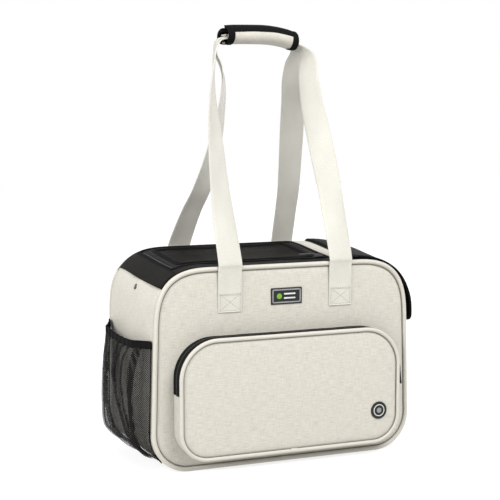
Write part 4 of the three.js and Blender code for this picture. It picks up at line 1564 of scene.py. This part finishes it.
def coil_mesh_along(name, line, ups, pitch=1.5 * MM):
    """Zip coil round a curved line whose outward direction changes."""
    path = evenly(line, pitch)
    lengths = np.linspace(0, 1, len(path))
    at = np.linspace(0, 1, len(line))
    return coil_mesh(name, path, resample(lengths, at, ups), pitch)


# ---- Straps -------------------------------------------------------------------------------------

LEGS = {
    "front_strap_left": [
        (-91, -107, 318, 0), (-93, -90, 370, 8), (-93, -75, 420, 20), (-92, -60, 470, 31),
        (-89, -40, 539, 52), (-84, -28, 575, 62), (-79, -18, 600, 70), (-75, -12, 620, 74),
        (-66, -6, 636, 80), (-50, -2, 641, 84),
    ],
    "front_strap_right": [
        (91, -107, 318, 0), (89, -90, 370, -6), (87, -75, 418, -15), (81, -57, 479, -32),
        (75, -40, 537, -50), (73, -31, 573, -62), (75, -22, 598, -70), (75, -14, 616, -74),
        (66, -6, 629, -80), (50, -2, 634, -84),
    ],
    "back_strap_left": [
        (-91, 107, 325, 0), (-80, 84, 370, 14), (-69, 60, 412, 20), (-59, 38, 470, 34),
        (-52, 22, 535, 52), (-52, 14, 575, 62), (-58, 10, 598, 70), (-67, 8, 618, 75),
        (-66, 4, 637, 80), (-50, 2, 644, 84),
    ],
    "back_strap_right": [
        (91, 107, 325, 0), (90, 92, 365, 0), (88, 76, 408, -4), (82, 54, 475, -16),
        (76, 34, 542, -40), (69, 21, 575, -58), (68, 14, 600, -70), (69, 9, 617, -75),
        (65, 4, 631, -80), (52, 2, 637, -84),
    ],
}
PATCH = 27 * MM
STRAP_BEND = (0, 0, 0.318), (0, 0, 0.60)


def strap_route(name):
    """Middle of a strap and its width direction, from its sewn end to inside the grip."""
    legs = np.array(LEGS[name], float)
    front = legs[0, 1] < 0
    face = -1 if front else 1
    x = legs[0, 0] * MM
    top = HEIGHT if front else BACK_HEIGHT
    node_low = low(f"{name}_end")[2]
    panel = 105 * MM + 1.2 * MM + 0.3 * MM
    over = 107 * MM + 1.4 * MM
    start = [
        (x, face * (panel + 0.6 * MM), node_low), (x, face * (panel + 0.8 * MM), node_low + 20 * MM),
        (x, face * (panel + 0.9 * MM), node_low + 38 * MM), (x, face * (over - 0.4 * MM), top - 10 * MM),
        (x, face * (over + 0.2 * MM), top - 2 * MM), (x, face * over, top + 8 * MM),
    ]
    route = np.concatenate([np.array(start), legs[1:, :3] * MM])
    turns = np.concatenate([np.zeros(len(start)), legs[1:, 3]])
    path = smooth_path(route, 12)
    turn = np.radians(np.interp(np.linspace(0, len(route) - 1, len(path)), np.arange(len(route)), turns))
    across = np.stack([np.cos(turn), np.sin(turn), np.zeros(len(turn))], axis=1)
    return path, across, face


def build_strap(name, seed):
    path, across, face = strap_route(name)
    step = 3 * MM
    lengths = lengths_along(path)
    at = np.linspace(0, lengths[-1], int(lengths[-1] / step))
    even, across = resample(at, lengths, path), resample(at, lengths, across)
    section = ribbon_section(STRAP_WIDTH, STRAP_THICK)
    narrowed = 1 - 0.42 * smoothstep(at, lengths[-1] - 0.05, lengths[-1] - 0.02)
    strap = sweep(f"{name}_webbing", even, section, "cream_webbing", across=across, scale=narrowed)
    cup = np.array([v.co for v in strap.data.vertices]).reshape(len(even), len(section), 3)
    rest = even[:, None]
    side = across / np.linalg.norm(across, axis=1)[:, None]
    tangents = np.gradient(even, axis=0)
    tangents = unit(tangents)
    normal = np.cross(side, tangents)
    offset = np.sum((cup - rest) * side[:, None], axis=2) / (STRAP_WIDTH / 2)
    free = (smoothstep(at, 0.09, 0.16) * (1 - smoothstep(at, lengths[-1] - 0.05, lengths[-1])))[:, None]
    wave = ripple(even, 0.11, seed)[:, None]
    bow = free * (1.1 * MM * (offset ** 2 - 0.4) * face + 0.5 * MM * wave * offset + 0.4 * MM * wave)
    cup = cup + normal[:, None] * bow[..., None]
    strap.data.vertices.foreach_set("co", cup.astype(np.float32).ravel())
    strap.data.update()
    bend(
        strap, "carrier", "handle", *STRAP_BEND, "cream_webbing",
        [f"{name}_end", f"{name}_leg", f"{name.rsplit('_', 1)[0]}_grip"],
    )
    # The sewn end is folded under, so a second layer lies behind the patch.
    outward = np.array([0, face, 0])
    patch_path = evenly(
        even[:1 + int(PATCH / step)] - outward * 1.5 * MM + np.array([0, 0, 0.2 * MM]), 3 * MM
    )
    fold = sweep(
        f"{name}_fold", patch_path, ribbon_section(
            STRAP_WIDTH - 1 * MM, 1.5 * MM
        ), "cream_webbing", across=X_AXIS
    )
    attach(fold, "carrier")
    x = even[0, 0]
    z0, z1 = even[0, 2] + 2.5 * MM, even[0, 2] + PATCH
    half = STRAP_WIDTH / 2 - 3 * MM

    def on_patch(dx, z):
        depth = np.interp(z, even[:40, 2], even[:40, 1])
        return (x + dx, depth + face * (STRAP_THICK / 2 + 0.05 * MM), z)

    rows = [
        [on_patch(-half, z0), on_patch(half, z0)], [on_patch(half, z0), on_patch(half, z1)],
        [on_patch(half, z1), on_patch(-half, z1)], [on_patch(-half, z1), on_patch(-half, z0)],
        [on_patch(-half, z0), on_patch(half, z1)], [on_patch(half, z0), on_patch(-half, z1)],
        [on_patch(-half, z1 - 1.6 * MM), on_patch(half, z1 - 1.6 * MM)],
    ]
    seams = stitch_mesh(f"{name}_stitches", [evenly(np.array(r), 1 * MM) for r in rows])
    attach(seams, "carrier")


# ---- Grip ---------------------------------------------------------------------------------------


def grip_height(x):
    """Height of the grip's middle, which droops more towards its right end."""
    return GRIP_HEIGHT - np.where(x < 0, 0.15, 1.0) * GRIP_DROOP * (x / GRIP_HALF) ** 2


def grip_points(u, angle, reach):
    """The grip's section at a share u of its length; angle in degrees from the back, over the top."""
    x = (2 * u - 1) * GRIP_HALF
    turn = np.radians(angle)
    z = grip_height(x)
    return np.stack(np.broadcast_arrays(
        x, (GRIP_ACROSS + reach) * np.cos(turn), z + (GRIP_TALL + reach) * np.sin(turn)
    ), axis=-1)


def crowned(u, share):
    """Fullness of the padding, which pinches in at the bound edges."""
    ends = np.minimum(smoothstep(u, 0, 0.1), 1 - smoothstep(u, 0.9, 1))
    sides = np.minimum(smoothstep(share, 0, 0.12), 1 - smoothstep(share, 0.88, 1))
    return ends * sides


def wrap(
    name, from_angle, to_angle, reach_at, thick_at, material, puff, seed, rows=44, columns=56, start=0.0
):
    """A closed padded wrap: outer and inner faces joined round a soft edge."""
    length = np.linspace(0, 1, rows)[:, None] * np.ones((1, columns))
    share = np.linspace(0, 1, columns)[None, :] * np.ones((rows, 1))
    angle = from_angle + (to_angle - from_angle) * share
    full = crowned(length, share)
    u = start + (1 - start) * length
    reach, thick = reach_at(share), thick_at(share)
    middle = reach - thick / 2
    # Pinch to two thirds at the sewn edges, and swell between them.
    swell = (thick / 2) * (0.68 + 0.32 * full)
    base = grip_points(u, angle, middle)
    outer = grip_points(u, angle, middle + swell + puff * full * (0.6 + 0.4 * ripple(base, 0.045, seed)))
    inner = grip_points(u, angle, middle - swell)
    vertices = np.concatenate([outer.reshape(-1, 3), inner.reshape(-1, 3)])
    count = rows * columns
    faces = grid_faces(rows, columns) + grid_faces(rows, columns, start=count, flip=True)
    rim = [i * columns for i in range(rows)] + [(rows - 1) * columns + j for j in range(1, columns)]
    rim += [i * columns + columns - 1 for i in range(rows - 2, -1, -1)]
    rim += list(range(columns - 2, 0, -1))
    inner_faces = range(len(faces) // 2, len(faces))
    for a, b in zip(rim, rim[1:] + rim[:1]):
        faces.append((a, b, b + count, a + count))
    arc = np.radians(angle) * (GRIP_ACROSS + GRIP_TALL) / 2
    flat = np.stack([(u * 2 * GRIP_HALF).ravel(), arc.ravel()], axis=1)
    piece = add_mesh(name, vertices, faces, material, np.concatenate([flat, flat]))
    piece.data.materials.append(MATERIALS["black_nylon"])
    for index in inner_faces:
        piece.data.polygons[index].material_index = 1
    return turn_outwards(piece)


FLAP_HINGE_START = (0, -0.0038, 0.6245)
FLAP_HINGE_END = (0, -0.0038, 0.6370)
FLAP_TURNS = (258, 120)
FLAP_START = 0.04
FLAP_BINDING_TURNS = (254, 96)
PAD_TURNS = (-98, 96)
END_BINDING = 11 * MM, 5.8 * MM
FLAP_SPIRAL = 4.6 * MM


def flap_reach(share):
    return FLAP_SPIRAL * share


def build_grip():
    pad = wrap(
        "grip_pad_fabric", *PAD_TURNS, lambda s: 0 * s, lambda s: GRIP_THICK + 0 * s, "cream_fabric",
        0.6 * MM, 51
    )
    attach(pad, "handle", ["grip_pad"])
    flap = wrap(
        "grip_flap_fabric", *FLAP_TURNS, flap_reach, lambda s: GRIP_THICK - 1.2 * MM * s,
        "cream_fabric", 0.9 * MM, 52,
        start=FLAP_START,
    )
    bend(flap, "handle", "grip_flap", FLAP_HINGE_START, FLAP_HINGE_END, "cream_fabric", ["grip_flap"])

    # Binding: along the closing edge, and over both ends of the wrap.
    edge = wrap(
        "grip_closing_binding", 158, 84, lambda s: (4.9 + 0.6 * s) * MM, lambda s: 2.5 * MM + 0 * s,
        "black_binding", 0.3 * MM, 53, columns=22, start=FLAP_START,
    )
    attach(edge, "grip_flap", ["grip_flap_binding"])
    for side, middle in (("left", 0.036), ("right", 0.964)):
        turn = np.linspace(*FLAP_BINDING_TURNS, 48)
        share = np.minimum((FLAP_TURNS[0] - turn) / (FLAP_TURNS[0] - FLAP_TURNS[1]), 1)
        flap_middle = middle + FLAP_START if side == "left" else middle
        sunk = (1.1 + 1.4 * (1 - smoothstep(turn, 95, 150))) * MM
        path = grip_points(np.full(48, flap_middle), turn, flap_reach(share) - sunk)
        band = end_binding(f"grip_flap_{side}_binding", path, *END_BINDING)
        bend(band, "handle", "grip_flap", FLAP_HINGE_START, FLAP_HINGE_END, "black_binding")
        turn = np.linspace(-94, 97, 40)
        path = grip_points(np.full(40, middle), turn, -2.2 * MM)
        band = end_binding(f"grip_pad_{side}_binding", path, *END_BINDING)
        attach(band, "handle")
    for name, angles, reach, body, node in (
        ("grip_hook_strip", (94, 107), 1.1 * MM, "handle", "grip_hook_tape"),
        ("grip_loop_strip", (118, 94), 1.9 * MM, "grip_flap", "grip_loop_tape"),
    ):
        u = np.linspace(0.1, 0.9, 60)[:, None]
        around = np.linspace(*angles, 9)[None, :]
        tape = sheet_mesh(name, grip_points(u, around, reach), "hook_and_loop")
        face_away(tape, (0, 0, 0.635))
        thicken(tape, 0.6 * MM)
        attach(tape, body, [node])
    for name, low_z in (("front_grip_run", -3.2), ("back_grip_run", 0.8)):
        x = np.linspace(-GRIP_HALF + 3 * MM, GRIP_HALF - 3 * MM, 40)
        z = grip_height(x) + (low_z + 1.2) * MM
        path = np.stack([x, np.zeros(40), z], axis=1)
        run = sweep(name, path, ribbon_section(20 * MM, STRAP_THICK), "cream_webbing", across=Y_AXIS)
        attach(run, "handle")


def end_binding(name, path, width, tall):
    return sweep(name, path, rim_section(width, tall), "black_binding", across=X_AXIS)


# ---- Labels -------------------------------------------------------------------------------------


def beside(path, out):
    """Across a closed path that lies in a plane facing out."""
    return np.cross(np.roll(path, -1, axis=0) - np.roll(path, 1, axis=0), out)


def label_face(node, depth_at):
    """Middle of a label's back on its panel, and half its size."""
    middle = middle_of(node)
    back = depth_at(np.array(middle[0]), np.array(middle[2])) - 0.2 * MM
    return np.array([middle[0], float(back), middle[2]]), (high(node) - low(node)) / 2


def build_labels():
    out = -Y_AXIS

    def raised(name, ring, heights, edge, place, material, nodes=()):
        plate = plate_mesh(
            name, ring, rounded_profile(*heights, edge), place, X_AXIS, Z_AXIS, material, w=out
        )
        attach(plate, "carrier", nodes)

    origin, half = label_face("front_label", front_y)
    raised(
        "front_label_base", round_rect(half[0], half[2], 1.2 * MM), (-1.4 * MM, 1.3 * MM), 0.5 * MM,
        origin, "rubber_label", ["front_label"],
    )
    corner = half[[0, 2]] - 3 * MM
    rim = rounded_rectangle(-corner, corner, 0.8 * MM, 1.2 * MM)
    path = origin + rim[:, :1] * X_AXIS + rim[:, 1:2] * Z_AXIS + out * 1.35 * MM
    line = sweep("front_label_frame", path, ribbon_section(2.0 * MM, 0.7 * MM), "label_grey",
                 across=beside(path, out), closed=True)
    attach(line, "carrier")
    bar = round_rect(9.5 * MM, 1.15 * MM, 1.1 * MM)
    for name, ring, dx, dz, material in (
        ("dot", circle(4.2 * MM), -12.0, 0.0, "label_green"),
        ("bar_0", bar, 5.0, 3.2, "label_white"),
        ("bar_1", bar, 5.0, -3.2, "label_white"),
    ):
        place = origin + X_AXIS * dx * MM + Z_AXIS * dz * MM
        raised("front_label_" + name, ring, (1.0 * MM, 1.8 * MM), 0.3 * MM, place, material)

    origin, half = label_face("pocket_label", pocket_y)
    raised(
        "pocket_label_base", circle(half[0], 56), (-1.4 * MM, 1.3 * MM), 0.6 * MM,
        origin, "rubber_label", ["pocket_label"],
    )
    turn = np.linspace(0, 2 * math.pi, 64, endpoint=False)[:, None]
    path = origin + 8.6 * MM * (np.cos(turn) * X_AXIS + np.sin(turn) * Z_AXIS) + out * 1.3 * MM
    ring = sweep("pocket_label_ring", path, ribbon_section(1.3 * MM, 0.8 * MM), "label_white",
                 across=beside(path, out), closed=True)
    attach(ring, "carrier")
    raised("pocket_label_dot", circle(4.0 * MM), (1.0 * MM, 1.9 * MM), 0.4 * MM, origin, "label_grey")


# ---- Inside -------------------------------------------------------------------------------------


def build_inside():
    half = (high("base_board") - low("base_board")) / 2
    centre = middle_of("base_board")
    board = plate_mesh(
        "base_board_cover", round_rect(half[0], half[1], 14 * MM),
        rounded_profile(-half[2], half[2], 1 * MM), centre, X_AXIS, Y_AXIS, "base_board",
    )
    attach(board, "carrier", ["base_board"])

    box = low("fleece_mat"), high("fleece_mat")
    half = (box[1] - box[0]) / 2
    centre = (box[0] + box[1]) / 2
    mat = plate_mesh(
        "fleece_mat_pad", round_rect(half[0] - 2 * MM, half[1] - 2 * MM, 22 * MM),
        rounded_profile(-half[2] + 0.6 * MM, half[2] - 3.4 * MM, 4.4 * MM), centre, X_AXIS, Y_AXIS, "fleece",
    )
    remesh = mat.modifiers.new("voxels", "REMESH")
    remesh.mode = "VOXEL"
    remesh.voxel_size = 5 * MM
    bake(mat)
    settle([(mat, 4.0, 0.0, 4.5 * MM)])
    coordinates = np.array([v.co for v in mat.data.vertices])
    coordinates[:, 2] = np.maximum(coordinates[:, 2], box[0][2] + 0.2 * MM)
    flat = coordinates.copy()
    flat[:, 2] = 0
    coordinates[:, 2] += np.where(coordinates[:, 2] > centre[2], 0.9 * MM * ripple(flat, 0.05, 61), 0)
    mat.data.vertices.foreach_set("co", coordinates.astype(np.float32).ravel())
    mat.data.polygons.foreach_set("use_smooth", [True] * len(mat.data.polygons))
    smooth = mat.modifiers.new("smooth", "SUBSURF")
    smooth.levels = smooth.render_levels = 1
    attach(mat, "mat", ["fleece_mat"])

    # Tether: a sewn tab, a strap, a hook and its sprung gate.
    middle = middle_of("tether_tab")
    tab = plate_mesh(
        "tether_tab_patch", round_rect(13 * MM, 12 * MM, 1.5 * MM),
        rounded_profile(-0.9 * MM, 0.9 * MM, 0.4 * MM), middle, X_AXIS, Z_AXIS, "black_webbing",
    )
    attach(tab, "carrier", ["tether_tab"])
    s_low, s_high = low("tether_strap"), high("tether_strap")
    middle = (s_low + s_high) / 2
    z = np.linspace(s_high[2], s_low[2], 40)
    path = np.stack([np.full(40, middle[0]), middle[1] + 0.4 * MM * np.sin(z * 40), z], axis=1)
    strap = sweep("tether_webbing", path, ribbon_section(20 * MM, 1.7 * MM), "black_webbing", across=X_AXIS)
    attach(strap, "tether", ["tether_strap"])
    c_low, c_high = low("tether_clip"), high("tether_clip")
    origin = np.array([(c_low[0] + c_high[0]) / 2, (c_low[1] + c_high[1]) / 2, c_high[2]])

    def at(x, z):
        return origin + np.array([x, 0, z]) * MM

    eye = smooth_path(np.array([at(*place) for place in (
        (-8, -12), (-9, -5), (-8, -1.5), (0, -1.2), (8, -1.5), (9, -5), (8, -12), (3, -14), (-3, -14),
        (-8, -12),
    )]), 6)
    attach(
        sweep("tether_clip_eye", eye[:-1], ring_section(1.6 * MM, 10), "snap_metal", closed=True),
        "tether"
    )
    swivel = plate_mesh(
        "tether_clip_swivel", circle(3.4 * MM, 24), rounded_profile(0, 5 * MM, 0.8 * MM),
        at(0, -14), X_AXIS, -Y_AXIS, "snap_metal", w=-Z_AXIS,
    )
    attach(swivel, "tether")
    hook = smooth_path(np.array([at(*place) for place in (
        (0, -18), (3, -22), (8.4, -28), (9, -38), (4, -44.6), (-4, -44.6), (-8.6, -39.5), (-8.8, -36.6),
    )]), 7)
    attach(
        sweep("tether_clip_hook", hook, ring_section(2.1 * MM, 12), "snap_metal"), "tether",
        ["tether_clip"]
    )
    middle = middle_of("clip_gate")
    ends = low("clip_gate")[2] - middle[2], high("clip_gate")[2] - middle[2]
    gate = plate_mesh(
        "clip_gate_bar", circle(1.3 * MM, 16), rounded_profile(*ends, 0.5 * MM), middle, X_AXIS,
        Y_AXIS, "snap_metal"
    )
    attach(gate, "clip_gate", ["clip_gate"])


def bake(piece):
    """Applies a piece's modifiers to its mesh."""
    depsgraph = bpy.context.evaluated_depsgraph_get()
    mesh = bpy.data.meshes.new_from_object(piece.evaluated_get(depsgraph))
    piece.modifiers.clear()
    mesh.materials.clear()
    mesh.materials.append(piece.data.materials[0])
    piece.data = mesh


make_camera()
make_studio()
build_shell()
build_hatch()
build_head()
# Folds in each net: their places across from the base up to the hem, how wide, and where they start.
build_end_pocket("left", True, 71, [
    ((0.45, 0.53, 0.66, 0.74, 0.77), 0.17, 0.03),
    ((0.15, 0.155, 0.33, 0.52, 0.45), 0.05, 0.03),
    ((0.155, 0.125, 0.155, 0.17, 0.13), 0.045, 0.03),
    ((0.49, 0.50, 0.46, 0.32), 0.035, 0.66),
    ((0.18, 0.24, 0.34, 0.20), 0.02, 0.36),
    ((0.84, 0.86, 0.88, 0.90), 0.11, 0.03),
])
build_end_pocket("right", False, 72, [
    ((0.70, 0.703, 0.73, 0.79, 0.88), 0.10, 0.03),
    ((0.34, 0.447, 0.53, 0.577, 0.60), 0.12, 0.03),
    ((0.42, 0.333, 0.28, 0.273, 0.30), 0.06, 0.03),
])
build_front_pocket()
for number, strap_name in enumerate(LEGS):
    build_strap(strap_name, 80 + number)
build_grip()
build_labels()
build_inside()

for node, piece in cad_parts.items():
    if not piece.hide_render:
        print("CAD node still showing:", node)
